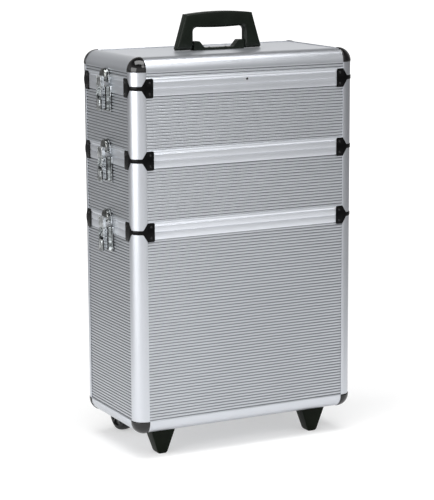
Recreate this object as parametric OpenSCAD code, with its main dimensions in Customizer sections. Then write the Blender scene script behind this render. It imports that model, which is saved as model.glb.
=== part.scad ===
// Rolling aluminium case: a bottom case on two wheels and two feet, two stacking
// upper cases and a lid, held together by draw latches at every seam.
// X runs along the front, Y to the back and Z up. All sizes are in millimetres.

/* [Case] */
// Width of the case along the front
case_w = 430; // [360:5:520]
// Depth of the case from front to back
case_d = 220; // [190:5:300]
// Height of the bottom case up to its seam
bottom_h = 355; // [320:5:450]
// Height of the middle case
middle_h = 122; // [95:1:180]
// Height of the top case
top_h = 122; // [95:1:180]
// Height of the lid
lid_h = 51; // [48:1:90]

/* [Extrusions] */
// Leg of the rounded corner and edge extrusions
edge_leg = 24; // [24:0.5:30]
// Outer radius of the rounded extrusions
edge_r = 22; // [19:0.5:23]
// Thickness of the lips that hold the panels
lip_t = 1.2; // [1:0.1:1.6]
// Depth of an extrusion's slot from the end of its lip
slot_depth = 7; // [6:0.5:7.5]
// Height of the flat rim below a seam
lower_rim_h = 13; // [12:0.5:16]
// Height of the flat rim above a seam
upper_rim_h = 17; // [15:0.5:20]
// Solid bar of a rim between its slot and the seam
rim_bar_h = 5; // [4.5:0.1:6]
// Height of the tongue that stands up from a lower rim
tongue_h = 3; // [2:0.1:3.5]
// Thickness of the tongue
tongue_t = 2; // [1.5:0.1:2.5]
// Clearance around the tongue in its groove
tongue_gap = 0.3; // [0.2:0.05:0.4]

/* [Panels] */
// Thickness of the lined boards
board_t = 5; // [4:0.1:6]
// Thickness of the ribbed sheet over its ribs
sheet_t = 1.4; // [1.2:0.1:2]
// Distance from one rib to the next
rib_pitch = 5.1; // [4:0.1:8]
// Depth of the grooves between the ribs
rib_depth = 0.8; // [0.4:0.1:1]
// Width of a groove at its mouth
groove_w = 2.4; // [1.5:0.1:3]
// Width of a groove at its bottom
groove_floor_w = 0.6; // [0.3:0.1:1.2]
// Thickness of the floors of the two upper cases
floor_t = 4; // [3:0.5:5]
// Height of those floors above their seams
floor_lift = 6; // [5.5:0.5:7]

/* [Corner fittings] */
// How far a ball corner stands proud of the extrusions
ball_proud = 0.8; // [0.4:0.1:1.5]
// Thickness of a seam bracket
bracket_t = 1; // [0.6:0.1:1.6]
// Height of a seam bracket's plate from the seam
bracket_h = 16.4; // [14:0.2:20]
// Height of its neck around the corner, from the seam
neck_h = 3.6; // [2.5:0.1:5]
// Reach of its plate beyond the corner extrusion
bracket_reach = 12.8; // [10:0.2:16]
// Length of the slope between neck and plate
bracket_slope = 8; // [6:0.5:10]
// Corner radius of the plate
bracket_corner_r = 2.5; // [1:0.5:4]
// Height of its rivets from the seam
bracket_rivet_z = 9.5; // [8:0.1:11]
// Radius of a rivet's head
rivet_head_r = 2.1; // [1.6:0.1:2.6]
// Height of a rivet's head
rivet_head_h = 0.9; // [0.6:0.1:1.2]
// Radius of a rivet's shank
rivet_r = 1.2; // [0.9:0.1:1.5]
// Depth of a rivet's shank below the outer face
rivet_depth = 5; // [4:0.1:6]
// Height of the lid's front rivet above the seam
lid_rivet_z = 7.6; // [6:0.1:9]

/* [Carry handle] */
// Half width across the feet of the handle's legs
handle_foot_half = 84; // [76:1:95]
// Half width across the top of the handle
handle_top_half = 65; // [60:1:72]
// Half width of the opening between the handle's legs
opening_half = 50.2; // [46:0.2:56]
// Radius of the opening's corners
opening_corner_r = 8; // [5:0.5:9]
// Height of the handle's shoulders over the lid
handle_h = 62; // [54:1:80]
// Extra height in the middle of the handle
handle_crown = 4; // [2:0.5:8]
// Thickness of the grip bar at the shoulders
handle_bar_h = 23; // [18:1:26]
// Thickness of the handle from front to back
handle_t = 18; // [14:1:22]
// Gap between the legs and the lid's sheet
handle_gap = 0.6; // [0.4:0.1:1.5]
// Radius of the handle's pins
handle_pin_r = 2.5; // [2:0.1:3.5]
// Length of a pin inside a leg
handle_pin_in = 14; // [8:1:18]
// Thickness of the handle's base plate
handle_base_t = 4.5; // [3:0.5:6]
// Length of a lug on the base plate
lug_len = 11; // [8:0.5:14]
// Height of a lug above the pins
lug_over_pin = 6.5; // [5:0.5:8]
// Width of the lugs and the base plate
lug_w = 15; // [12:0.5:17]
// Gap between a lug and the leg next to it
lug_gap = 0.8; // [0.3:0.1:1]

/* [Latches] */
// Width of a latch's base plate
latch_w = 40; // [36:1:48]
// Height of the base plate
latch_h = 44; // [42:1:54]
// Gap from the seam to the base plate
latch_seam_gap = 2; // [1:0.5:3]
// Thickness of the latch's plates
latch_t = 1.2; // [1:0.1:1.5]
// Distance of the lever's axis below the seam
lever_axis_z = 8; // [7:0.5:9]
// Distance of the lever's axis from the case
lever_axis_out = 9; // [8.5:0.1:10]
// Length of the lever from its axis to its tip
lever_len = 37; // [34:0.5:40]
// Distance from the lever's axis to the hook's pin
hook_arm = 11; // [10:0.5:12]
// Half width between the lever's side walls
lever_half_w = 8.6; // [8:0.1:9.5]
// Radius of the lock face
lock_r = 5.5; // [4:0.5:6]
// Width of the keyway
keyway_w = 1; // [0.6:0.1:1.6]
// Depth of the keyway
keyway_depth = 2; // [1:0.1:3]
// Height of the base's raised channel under the lever
channel_out = 4.6; // [3:0.1:4.8]
// Height of the middle of the hook's rounded head above the seam
hook_top_z = 11.5; // [10.5:0.5:12]
// Thickness of the hook's plate
hook_t = 1.6; // [1.2:0.1:2]
// Clearance between the hook and the keeper's lip
hook_gap = 0.6; // [0.4:0.1:0.8]
// Width of the keeper
keeper_w = 28; // [26:1:32]
// Height of the keeper's domed top above the seam
keeper_h = 28; // [26:1:32]
// Height of the keeper's hood from the case
hood_out = 7.5; // [6:0.1:7.6]
// Clearance of the latch's pins in their holes
pin_gap = 0.05; // [0.03:0.01:0.1]

/* [Feet] */
// Height of the case above the ground
ground_clearance = 46.5; // [42:0.5:55]
// Distance of each front foot from the middle
foot_x = 151; // [120:1:160]
// Distance from the front of the case to the feet's middle
foot_from_front = 45; // [35:1:60]
// Width of a foot at its top
foot_top_w = 47; // [38:1:54]
// Width of a foot at its bottom
foot_bottom_w = 17; // [12:1:24]
// Depth of a foot at its top
foot_top_d = 33; // [26:1:40]
// Depth of a foot at its bottom
foot_bottom_d = 25; // [18:1:26]
// Height of the bevel at the bottom of a foot
foot_bevel = 3; // [1:0.5:5]

/* [Wheels] */
// Radius of the wheels
wheel_r = 34; // [30:0.5:38]
// Width of a wheel's tread
wheel_w = 24; // [18:1:28]
// Distance of each wheel from the middle
wheel_x = 150; // [120:1:160]
// Distance from the back of the case to the wheels' axis
wheel_from_back = 12; // [8:0.5:20]
// Radius of the axles
axle_r = 4; // [3:0.5:5]
// Running clearance of a wheel on its axle
axle_gap = 0.05; // [0.02:0.01:0.1]
// Space between a wheel's side and its housing
wheel_side_gap = 1.5; // [1:0.1:3]
// Space between the tread and its housing
wheel_arch_gap = 3; // [2:0.5:5]
// Wall of the wheel housings
housing_t = 2.5; // [2:0.1:3.5]
// Width of the housings' flanges
flange_w = 7; // [6:0.5:10]
// Thickness of the housings' flanges
flange_t = 1.5; // [1:0.1:2.5]

/* [Pull handle] */
// Distance of each tube from the middle
tube_x = 75; // [60:1:95]
// Distance from the case's back to the tubes' axes
tube_out = 14; // [13:0.5:18]
// Radius of the outer tubes
tube_r = 11; // [10:0.1:12]
// Wall of the tubes
tube_wall = 1.2; // [1:0.1:1.4]
// Running clearance between the tubes
tube_gap = 0.1; // [0.05:0.01:0.1]
// Height of the tubes' lower ends
tube_foot_z = 30; // [27:1:60]
// Height of the upper bracket
tube_bracket_h = 22; // [18:1:30]
// Distance of the upper bracket from the seam
tube_bracket_drop = 17; // [14:1:30]
// Height of the grip over the upper bracket when it is down
grip_lift = 20; // [16:1:30]
// Half length of the grip
grip_half = 98; // [90:1:115]
// Height of the grip
grip_h = 30; // [26:1:36]
// Depth of the grip
grip_d = 24; // [22:0.5:26]
// Length of the release button
button_w = 34; // [24:1:44]
// Depth of the release button from front to back
button_d = 11; // [8:0.5:14]
// Height of the button over the grip
button_over = 3.5; // [3:0.1:5]
// Travel of the button
button_travel = 3; // [2:0.1:3]
// Clearance around the button
button_gap = 0.3; // [0.2:0.05:0.5]
// Radius of the screws
screw_r = 2; // [1.5:0.1:2.5]
// Radius of the screws' heads
screw_head_r = 4; // [3:0.1:5]
// Height of the screws' heads
screw_head_h = 2; // [1.5:0.1:3]

/* [Hidden] */
$fn = 64;
eps = 0.01;
left = -1;
right = 1;

middle_z = bottom_h;
top_z = middle_z + middle_h;
lid_z = top_z + top_h;
case_h = lid_z + lid_h;

panel_t = sheet_t + board_t;
wall_t = lip_t + panel_t + lip_t;
panel_start = edge_leg - slot_depth;
board_in = lip_t + sheet_t;
front_panel_w = case_w - 2 * panel_start;
side_panel_w = case_d - 2 * panel_start;
front_rim_w = case_w - 2 * edge_leg;
side_rim_w = case_d - 2 * edge_leg;
tongue_in = (wall_t - tongue_t) / 2;

bracket_rivet_in = edge_leg + bracket_reach / 2;
front_rivet_x = case_w / 2 - bracket_rivet_in;
side_rivet_x = case_d / 2 - bracket_rivet_in;
latch_rivet_x = latch_w / 2 - rivet_head_r - 0.4;
latch_rivet_z = rivet_head_r + 1.5;
plate_top_z = -latch_seam_gap;
plate_bottom_z = -latch_seam_gap - latch_h;
base_spots = [[-latch_rivet_x, plate_top_z - latch_rivet_z], [latch_rivet_x, plate_top_z - latch_rivet_z],
    [-latch_rivet_x, plate_bottom_z + latch_rivet_z], [latch_rivet_x, plate_bottom_z + latch_rivet_z]];
keeper_foot_z = 3;
keeper_rivet_x = 10.5;
keeper_rivet_z = 8.5;
keeper_spots = [[-keeper_rivet_x, keeper_rivet_z], [keeper_rivet_x, keeper_rivet_z]];

sheet_top_z = case_h - lip_t;
handle_leg_r = handle_t / 2;
handle_axis_z = sheet_top_z + handle_gap + handle_leg_r;
shoulder_z = case_h + handle_h;
crown_z = shoulder_z + handle_crown;
bar_under_z = shoulder_z - handle_bar_h;
lug_outer_x = opening_half - lug_gap;
lug_inner_x = lug_outer_x - lug_len;
lug_slope = 10;
handle_rivet_x = 16;
handle_rivet_depth = panel_t - 0.4;

lever_out_w = lever_half_w + latch_t;
lever_side_gap = 0.3;
cheek_out_w = lever_half_w - lever_side_gap;
cheek_half_w = cheek_out_w - latch_t;
lever_eye_r = 4;
stub_r = 1.6;
hook_pin_r = 1.5;
hook_eye_r = 3;
hook_half_w = cheek_half_w - lever_side_gap;
cover_start = hook_arm + 6;
cover_out = lever_axis_out + lever_eye_r;
lever_out = cover_out + latch_t;
lever_in = lever_axis_out - lever_eye_r + 1;
hook_in = lever_axis_out - hook_t / 2;
head_r = (lever_out - hook_in) / 2;
head_foot_z = -lever_axis_z + lever_eye_r + 0.5;
hook_pin_z = -lever_axis_z - hook_arm;
keeper_lip_out = hook_in - hook_gap;
keeper_lip_top_z = hook_top_z - head_r - 0.4;
hood_r = keeper_w / 2 - 1;
hood_t = 1.1;

foot_y = -case_d / 2 + foot_from_front;
wheel_y = case_d / 2 - wheel_from_back;
wheel_z = wheel_r - ground_clearance;
arch_r = wheel_r + wheel_arch_gap;
housing_r = arch_r + housing_t;
well_half_w = wheel_w / 2 + wheel_side_gap;
housing_half_w = well_half_w + housing_t;
housing_top_z = wheel_z + housing_r;
housing_front_y = wheel_y - sqrt(housing_r * housing_r - wheel_z * wheel_z);
flange_half_w = housing_half_w + flange_w;
cheek_r = axle_r + 7;
flange_screw_x = housing_half_w + flange_w / 2;
flange_screw_y = housing_front_y + 10;
flange_screw_depth = flange_t + lip_t + panel_t;
foot_screw_spots = [for (sx = [-1, 1], dx = [-1, 1]) [sx * foot_x + dx * foot_top_w / 5, foot_y]];
foot_screw_depth = board_in + board_t + 14;

tube_y = case_d / 2 + tube_out;
tube_in_r = tube_r - tube_wall;
mid_r = tube_in_r - tube_gap;
mid_in_r = mid_r - tube_wall;
inner_r = mid_in_r - tube_gap;
inner_in_r = inner_r - tube_wall;
bracket_top_z = bottom_h - tube_bracket_drop;
tube_cap_t = 4;
outer_top_z = bracket_top_z - tube_cap_t;
tube_step = 4;
mid_top_z = bracket_top_z + tube_step;
grip_z = bracket_top_z + grip_lift;
grip_socket = 15;
tube_bracket_d = tube_out + tube_r + 3;
tube_cup_h = 34;
grip_back_y = tube_y + grip_d / 2;
button_seat = 8;
button_floor_z = grip_z + grip_h - button_seat - button_travel;
bracket_ear_t = 4;
tube_cup_half = tube_r + 4;
bracket_screw_x = tube_x + tube_cup_half + screw_head_r + 1;
bracket_screw_z = bracket_top_z - tube_bracket_h / 2;
cup_screw_z = tube_foot_z + tube_cup_h / 2;
back_screw_depth = bracket_ear_t + lip_t + panel_t;

front_reach = case_d / 2 + bracket_t + rivet_head_h;
back_reach = max(wheel_y + wheel_r, case_d / 2 + tube_bracket_d, grip_back_y);
centre_shift = (back_reach - front_reach) / 2;

aluminium = [0.82, 0.82, 0.84];
ribbed = [0.74, 0.75, 0.77];
lining = [0.08, 0.08, 0.09];
black = [0.05, 0.05, 0.05];
chrome = [0.85, 0.86, 0.88];
steel = [0.6, 0.61, 0.63];

// Places: the case is drawn about its own middle and set down on the ground.

module placed() {
    translate([0, -centre_shift, ground_clearance]) children();
}

// Each corner: the child starts at the outer corner, with X and Y pointing inwards.
module each_corner() {
    for (sx = [0, 1], sy = [0, 1])
        mirror([sx, 0, 0]) mirror([0, sy, 0])
            translate([-case_w / 2, -case_d / 2, 0]) children();
}

// Front and back walls: the child has X along the wall and Y inwards from its face.
module front_and_back() {
    for (back = [0, 1])
        mirror([0, back, 0]) translate([0, -case_d / 2, 0]) children();
}

// Side walls, with the child drawn the same way.
module left_and_right() {
    for (far = [0, 1])
        mirror([far, 0, 0]) translate([-case_w / 2, 0, 0]) mirror([1, -1, 0]) children();
}

// One side's latch place: X outwards, Y along the wall, Z up from the seam.
module at_latch(seam, side) {
    mirror([side == left ? 1 : 0, 0, 0]) translate([case_w / 2, 0, seam]) children();
}

module each_latch(seam) {
    for (side = [left, right])
        at_latch(seam, side) children();
}

// A profile with X inwards and Y up, run along a wall's length.
module along_wall(length) {
    translate([-length / 2, 0, 0]) rotate([90, 0, 90]) linear_extrude(length) children();
}

// Fastenings

// A domed head on the outer face; Z points out of the wall, and depth counts from z = 0.
module rivet(stand, depth) {
    dome_r = (rivet_head_r * rivet_head_r + rivet_head_h * rivet_head_h) / (2 * rivet_head_h);
    intersection() {
        translate([0, 0, stand + rivet_head_h - dome_r]) sphere(dome_r);
        translate([0, 0, stand]) cylinder(r = rivet_head_r, h = rivet_head_h + 1);
    }
    translate([0, 0, -depth]) cylinder(r = rivet_r, h = depth + stand + eps);
}

// Spots are [along the wall, height]; the child's Z points out of the wall.
module at_spots(spots, seam) {
    for (p = spots)
        translate([p[0], 0, seam + p[1]]) rotate([90, 0, 0]) children();
}

module rivet_bore() {
    translate([0, 0, -rivet_depth]) cylinder(r = rivet_r, h = rivet_depth + bracket_t + latch_t);
}

function pair(x, z) = [[-x, z], [x, z]];

// Every rivet bore of one case: seam brackets and latches above and below it.
module front_bores(low, high) {
    if (low >= 0) at_spots(pair(front_rivet_x, bracket_rivet_z), low) rivet_bore();
    if (high >= 0) at_spots(pair(front_rivet_x, -bracket_rivet_z), high) rivet_bore();
}

module side_bores(low, high) {
    if (low >= 0) {
        at_spots(pair(side_rivet_x, bracket_rivet_z), low) rivet_bore();
        at_spots(keeper_spots, low) rivet_bore();
    }
    if (high >= 0) {
        at_spots(pair(side_rivet_x, -bracket_rivet_z), high) rivet_bore();
        at_spots(base_spots, high) rivet_bore();
    }
}

module wall_bores(low, high) {
    front_and_back() front_bores(low, high);
    left_and_right() side_bores(low, high);
}

module case_rivets(low, high) {
    color(black) {
        if (low >= 0) {
            front_and_back() at_spots(pair(front_rivet_x, bracket_rivet_z), low)
                rivet(bracket_t, rivet_depth);
            left_and_right() at_spots(pair(side_rivet_x, bracket_rivet_z), low)
                rivet(bracket_t, rivet_depth);
            left_and_right() at_spots(keeper_spots, low) rivet(latch_t, rivet_depth);
        }
        if (high >= 0) {
            front_and_back() at_spots(pair(front_rivet_x, -bracket_rivet_z), high)
                rivet(bracket_t, rivet_depth);
            left_and_right() at_spots(pair(side_rivet_x, -bracket_rivet_z), high)
                rivet(bracket_t, rivet_depth);
            left_and_right() at_spots(base_spots, high) rivet(latch_t, rivet_depth);
        }
    }
}

// Extrusions

module rounded_corner(leg, r) {
    difference() {
        square(leg);
        difference() {
            translate([-eps, -eps]) square(r + eps);
            translate([r, r]) circle(r);
        }
    }
}

// The corner profile: rounded outside, two panel slots, and an inner lip.
module edge_profile() {
    difference() {
        rounded_corner(edge_leg, edge_r);
        translate([wall_t, wall_t]) square(edge_leg);
        translate([panel_start, lip_t]) square([edge_leg, panel_t]);
        translate([lip_t, panel_start]) square([panel_t, edge_leg]);
    }
}

module posts(low, high) {
    color(aluminium)
        each_corner() translate([0, 0, low]) linear_extrude(high - low) edge_profile();
}

module bottom_edge_bars() {
    front_and_back() along_wall(front_rim_w) edge_profile();
    left_and_right() along_wall(side_rim_w) edge_profile();
}

// The rim below a seam: a slot for the panel, a solid bar and a tongue on top.
module lower_rim_profile() {
    bar_h = rim_bar_h - 1;
    difference() {
        translate([0, -lower_rim_h]) square([wall_t, lower_rim_h]);
        translate([lip_t, -lower_rim_h - eps]) square([panel_t, lower_rim_h - bar_h + eps]);
    }
    translate([tongue_in, -eps]) square([tongue_t, tongue_h + eps]);
}

// The rim above a seam: a groove for the tongue, a slot and a bead line outside.
module upper_rim_profile() {
    bead_z = upper_rim_h - 6.5;
    bead_w = 1.6;
    bead_depth = 0.6;
    difference() {
        square([wall_t, upper_rim_h]);
        translate([lip_t, rim_bar_h]) square([panel_t, upper_rim_h]);
        translate([tongue_in - tongue_gap, -eps])
            square([tongue_t + 2 * tongue_gap, tongue_h + tongue_gap + eps]);
        polygon([[-eps, bead_z], [bead_depth, bead_z + bead_w / 2], [-eps, bead_z + bead_w]]);
    }
}

module rims_below(seam) {
    translate([0, 0, seam]) {
        front_and_back() along_wall(front_rim_w) lower_rim_profile();
        left_and_right() along_wall(side_rim_w) lower_rim_profile();
    }
}

module rims_above(seam) {
    translate([0, 0, seam]) {
        front_and_back() along_wall(front_rim_w) upper_rim_profile();
        left_and_right() along_wall(side_rim_w) upper_rim_profile();
    }
}

// Panels

module wall_board(length, low, high) {
    translate([-length / 2, board_in, low]) cube([length, board_t, high - low]);
}

module wall_boards(low, high) {
    front_and_back() wall_board(front_panel_w, low, high);
    left_and_right() wall_board(side_panel_w, low, high);
}

// Outline of a ribbed sheet of height h: X is the depth behind the lips, Y the height.
function ribbed_outline(h) =
    let (
        count = floor((h - groove_w) / rib_pitch),
        first = (h - (count - 1) * rib_pitch) / 2,
        m = groove_w / 2,
        f = groove_floor_w / 2
    )
    concat(
        [[sheet_t, h], [sheet_t, 0], [0, 0]],
        [for (i = [0 : count - 1], p = [[0, -m], [rib_depth, -f], [rib_depth, f], [0, m]])
            [p[0], first + i * rib_pitch + p[1]]],
        [[0, h]]
    );

module wall_sheets(low, high) {
    front_and_back() translate([0, lip_t, low]) along_wall(front_panel_w)
        polygon(ribbed_outline(high - low));
    left_and_right() translate([0, lip_t, low]) along_wall(side_panel_w)
        polygon(ribbed_outline(high - low));
}

// A smooth sheet lying flat under the bottom; the lid's is the same, turned over.
module flat_sheet() {
    translate([-front_panel_w / 2, -side_panel_w / 2, lip_t])
        cube([front_panel_w, side_panel_w, sheet_t]);
}

module flat_board() {
    translate([-front_panel_w / 2, -side_panel_w / 2, board_in])
        cube([front_panel_w, side_panel_w, board_t]);
}

module tray_floor(seam) {
    translate([-case_w / 2 + wall_t, -case_d / 2 + wall_t, seam + floor_lift])
        cube([case_w - 2 * wall_t, case_d - 2 * wall_t, floor_t]);
}

// Corner fittings

// A cube of the given leg with one corner rounded to a ball of radius r.
module ball_block(leg, r) {
    rest = leg - r;
    intersection() {
        cube(leg);
        union() {
            translate([r, r, r]) sphere(r);
            translate([r, r, r]) cylinder(r = r, h = rest);
            translate([r, r, r]) rotate([0, 90, 0]) cylinder(r = r, h = rest);
            translate([r, r, r]) rotate([-90, 0, 0]) cylinder(r = r, h = rest);
            translate([r, r, 0]) cube([rest, rest, leg]);
            translate([r, 0, r]) cube([rest, leg, rest]);
            translate([0, r, r]) cube([leg, rest, rest]);
        }
    }
}

// A moulded ball corner that takes the ends of three extrusions and three panels.
module ball_corner() {
    slot = slot_depth + eps;
    far = edge_leg;
    difference() {
        translate([-ball_proud, -ball_proud, -ball_proud])
            ball_block(edge_leg + ball_proud, edge_r + ball_proud);
        translate([wall_t, wall_t, wall_t]) cube(far);
        translate([lip_t, panel_start, panel_start]) cube([panel_t, slot, slot]);
        translate([panel_start, lip_t, panel_start]) cube([slot, panel_t, slot]);
        translate([panel_start, panel_start, lip_t]) cube([slot, slot, panel_t]);
    }
}

// A plate's outline seen square on: X from the outer corner, Y from the seam.
module bracket_outline() {
    tip = edge_leg + bracket_reach;
    r = bracket_corner_r;
    difference() {
        polygon([[-2 * bracket_t, 0], [-2 * bracket_t, neck_h], [edge_leg - bracket_slope, neck_h],
            [edge_leg, bracket_h], [tip, bracket_h], [tip, 0]]);
        difference() {
            translate([tip - r, bracket_h - r]) square(r + eps);
            translate([tip - r, bracket_h - r]) circle(r);
        }
    }
}

// The seam bracket of one corner, above the seam: a band round the post and two plates.
module seam_bracket() {
    tip = edge_leg + bracket_reach;
    module band() {
        linear_extrude(bracket_h) difference() {
            translate([-bracket_t, -bracket_t]) rounded_corner(tip + bracket_t, edge_r + bracket_t);
            rounded_corner(tip + 1, edge_r);
        }
    }
    difference() {
        union() {
            intersection() {
                band();
                translate([0, tip, 0]) rotate([90, 0, 0]) linear_extrude(2 * tip) bracket_outline();
            }
            intersection() {
                band();
                mirror([1, -1, 0]) translate([0, tip, 0]) rotate([90, 0, 0])
                    linear_extrude(2 * tip) bracket_outline();
            }
        }
        translate([bracket_rivet_in, 0, bracket_rivet_z]) rotate([90, 0, 0]) rivet_bore();
        mirror([1, -1, 0]) translate([bracket_rivet_in, 0, bracket_rivet_z])
            rotate([90, 0, 0]) rivet_bore();
    }
}

module brackets_above(seam) {
    color(black) translate([0, 0, seam]) each_corner() seam_bracket();
}

module brackets_below(seam) {
    color(black) translate([0, 0, seam]) each_corner() mirror([0, 0, 1]) seam_bracket();
}

// Latches, drawn with X outwards from the wall, Y along it and Z up from the seam.

module out_from_wall(out) {
    translate([out, 0, 0]) rotate([0, 90, 0]) children();
}

module along_latch(half) {
    translate([0, half, 0]) rotate([90, 0, 0]) linear_extrude(2 * half) children();
}

// A cheek that carries the lever: X outwards and Y up.
module cheek_outline() {
    top_z = -lever_axis_z + lever_eye_r;
    polygon([[channel_out - eps, top_z - 2 * lever_eye_r - 3], [lever_axis_out, top_z - 2 * lever_eye_r],
        [lever_axis_out, top_z], [channel_out - eps, top_z]]);
    translate([lever_axis_out, -lever_axis_z]) circle(lever_eye_r);
}

module latch_base() {
    r = 3;
    channel_in = 2;
    difference() {
        union() {
            rotate([90, 0, 90]) linear_extrude(latch_t) difference() {
                translate([-latch_w / 2, plate_bottom_z]) square([latch_w, latch_h]);
                for (sx = [0, 1], sz = [0, 1])
                    translate([0, plate_bottom_z + latch_h / 2]) mirror([sx, 0]) mirror([0, sz])
                        translate([latch_w / 2 - r, latch_h / 2 - r]) difference() {
                            square(r + eps);
                            circle(r);
                        }
            }
            translate([latch_t - eps, -lever_out_w, plate_bottom_z + channel_in])
                cube([channel_out - latch_t + eps, 2 * lever_out_w, latch_h - 2 * channel_in]);
            for (s = [0, 1])
                mirror([0, s, 0]) translate([0, cheek_out_w, 0]) rotate([90, 0, 0])
                    linear_extrude(latch_t) cheek_outline();
        }
        translate([lever_axis_out, 0, -lever_axis_z]) rotate([90, 0, 0])
            cylinder(r = stub_r + pin_gap, h = latch_w, center = true);
        for (p = base_spots)
            translate([0, p[0], p[1]]) rotate([0, 90, 0])
                translate([0, 0, -eps]) cylinder(r = rivet_r, h = latch_t + 2 * eps);
    }
}

// The upper half of a disc, drawn along the wall and up it.
module half_disc(r) {
    intersection() {
        circle(r);
        translate([-r, 0]) square([2 * r, r]);
    }
}

module keeper() {
    half = keeper_w / 2;
    dome_z = keeper_h - half;
    lip_half = hook_half_w - 1;
    difference() {
        union() {
            rotate([90, 0, 90]) linear_extrude(latch_t) {
                translate([-half, keeper_foot_z]) square([keeper_w, dome_z - keeper_foot_z]);
                translate([0, dome_z]) half_disc(half);
            }
            translate([latch_t - eps, 0, dome_z]) rotate([90, 0, 90])
                linear_extrude(hood_out - latch_t + eps) half_disc(hood_r);
            along_latch(lip_half)
                polygon([[latch_t - eps, keeper_foot_z + 0.5], [keeper_lip_out, keeper_lip_top_z - 1.6],
                    [keeper_lip_out, keeper_lip_top_z], [latch_t - eps, keeper_lip_top_z]]);
        }
        translate([latch_t, 0, dome_z - eps]) rotate([90, 0, 90])
            linear_extrude(hood_out - latch_t - hood_t) half_disc(hood_r - hood_t);
        for (p = keeper_spots)
            translate([0, p[0], p[1]]) rotate([0, 90, 0])
                translate([0, 0, -eps]) cylinder(r = rivet_r, h = latch_t + 2 * eps);
    }
}

// A lever's side wall: X outwards and Y up, about the axis on the base.
module lever_side_outline() {
    end_z = -lever_axis_z - lever_len + 1;
    translate([lever_axis_out, -lever_axis_z]) circle(lever_eye_r);
    polygon([[cover_out, -lever_axis_z], [lever_in + 0.6, -lever_axis_z],
        [lever_in, -lever_axis_z - 3], [lever_in, end_z + 5], [cover_out, end_z],
        [lever_out, end_z], [lever_out, -lever_axis_z - 3]]);
}

module lever_cover_outline() {
    tip_z = -lever_axis_z - lever_len;
    flare = 1.5;
    polygon([[cover_out, -lever_axis_z - cover_start], [lever_out, -lever_axis_z - cover_start],
        [lever_out, tip_z + flare + 2], [lever_out + flare, tip_z],
        [lever_out + flare - latch_t, tip_z - 0.6], [cover_out, tip_z + flare + 1]]);
}

module latch_lever(seam, side) {
    lock_z = -lever_axis_z - lever_len + 13;
    lock_in = lever_in - 0.4;
    lock_out = lever_out + 1;
    color(chrome) placed() at_latch(seam, side) {
        difference() {
            union() {
                for (s = [0, 1])
                    mirror([0, s, 0]) {
                        translate([0, lever_out_w, 0]) rotate([90, 0, 0])
                            linear_extrude(latch_t) lever_side_outline();
                        translate([lever_axis_out, lever_out_w, -lever_axis_z])
                            rotate([90, 0, 0]) cylinder(r = stub_r, h = lever_out_w - cheek_half_w);
                    }
                along_latch(lever_out_w) lever_cover_outline();
                translate([lever_axis_out, 0, hook_pin_z]) rotate([90, 0, 0])
                    cylinder(r = hook_pin_r, h = 2 * lever_out_w, center = true);
                translate([0, 0, lock_z]) out_from_wall(lock_in)
                    cylinder(r = lock_r, h = lock_out - lock_in);
            }
            translate([lock_out - keyway_depth, -keyway_w / 2, lock_z - lock_r / 2])
                cube([keyway_depth + 1, keyway_w, lock_r]);
        }
    }
}

// The hook's head from the side: a plate's width deep, with a round top.
module head_outline() {
    translate([hook_in, head_foot_z]) square([2 * head_r, hook_top_z - head_foot_z]);
    translate([hook_in + head_r, hook_top_z]) circle(head_r);
}

module latch_hook(seam, side) {
    color(chrome) placed() at_latch(seam, side) difference() {
        union() {
            along_latch(hook_half_w) {
                translate([lever_axis_out, hook_pin_z]) circle(hook_eye_r);
                translate([hook_in, hook_pin_z]) square([hook_t, hook_top_z - hook_pin_z]);
            }
            along_latch(lever_out_w) head_outline();
        }
        translate([hook_in + hook_t, -lever_half_w, head_foot_z - eps])
            cube([2 * head_r - hook_t - latch_t, 2 * lever_half_w, hook_top_z - head_foot_z]);
        translate([lever_axis_out, 0, hook_pin_z]) rotate([90, 0, 0])
            cylinder(r = hook_pin_r + pin_gap, h = latch_w, center = true);
    }
}

// Bottom case

// The space that one wheel housing takes out of the bottom case.
module housing_space() {
    rotate([90, 0, 90]) translate([0, 0, -housing_half_w]) linear_extrude(2 * housing_half_w)
        translate([wheel_y, wheel_z]) circle(housing_r);
}

module each_wheel() {
    for (side = [0, 1])
        mirror([side, 0, 0]) translate([-wheel_x, 0, 0]) children();
}

// A screw with its head at z = 0 and its shank down into the part.
module screw(depth) {
    cylinder(r = screw_head_r, h = screw_head_h);
    translate([0, 0, -depth]) cylinder(r = screw_r, h = depth + eps);
}

module screw_bore(depth) {
    translate([0, 0, -depth]) cylinder(r = screw_r, h = depth + 1);
}

// Screws that hold the feet, from inside the floor; Z points up.
module at_foot_screws() {
    for (p = foot_screw_spots)
        translate([p[0], p[1], board_in + board_t]) children();
}

// Screws of the wheel housings' lower flanges; Z points down.
module at_flange_screws() {
    each_wheel() for (x = [-flange_screw_x, flange_screw_x])
        translate([x, flange_screw_y, -flange_t]) rotate([180, 0, 0]) children();
}

// Screws of the pull handle's brackets; Z points out of the back.
module at_back_screws() {
    for (x = [-bracket_screw_x, bracket_screw_x], z = [bracket_screw_z, cup_screw_z])
        translate([x, case_d / 2 + bracket_ear_t, z]) rotate([-90, 0, 0]) children();
}
module screw_bores() {
    at_foot_screws() screw_bore(foot_screw_depth);
    at_flange_screws() screw_bore(flange_screw_depth);
    at_back_screws() screw_bore(back_screw_depth);
}

module bottom_boards() {
    color(lining) placed() difference() {
        union() {
            wall_boards(panel_start, bottom_h - rim_bar_h + 1);
            flat_board();
        }
        each_wheel() housing_space();
        wall_bores(-1, bottom_h);
        screw_bores();
    }
}

module bottom_sheets() {
    color(ribbed) placed() difference() {
        union() {
            wall_sheets(panel_start, bottom_h - rim_bar_h + 1);
            flat_sheet();
        }
        each_wheel() housing_space();
        wall_bores(-1, bottom_h);
        screw_bores();
    }
}

module bottom_posts() {
    placed() posts(edge_leg, bottom_h);
}

module bottom_edges() {
    color(aluminium) placed() difference() {
        bottom_edge_bars();
        each_wheel() housing_space();
    }
}

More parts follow.
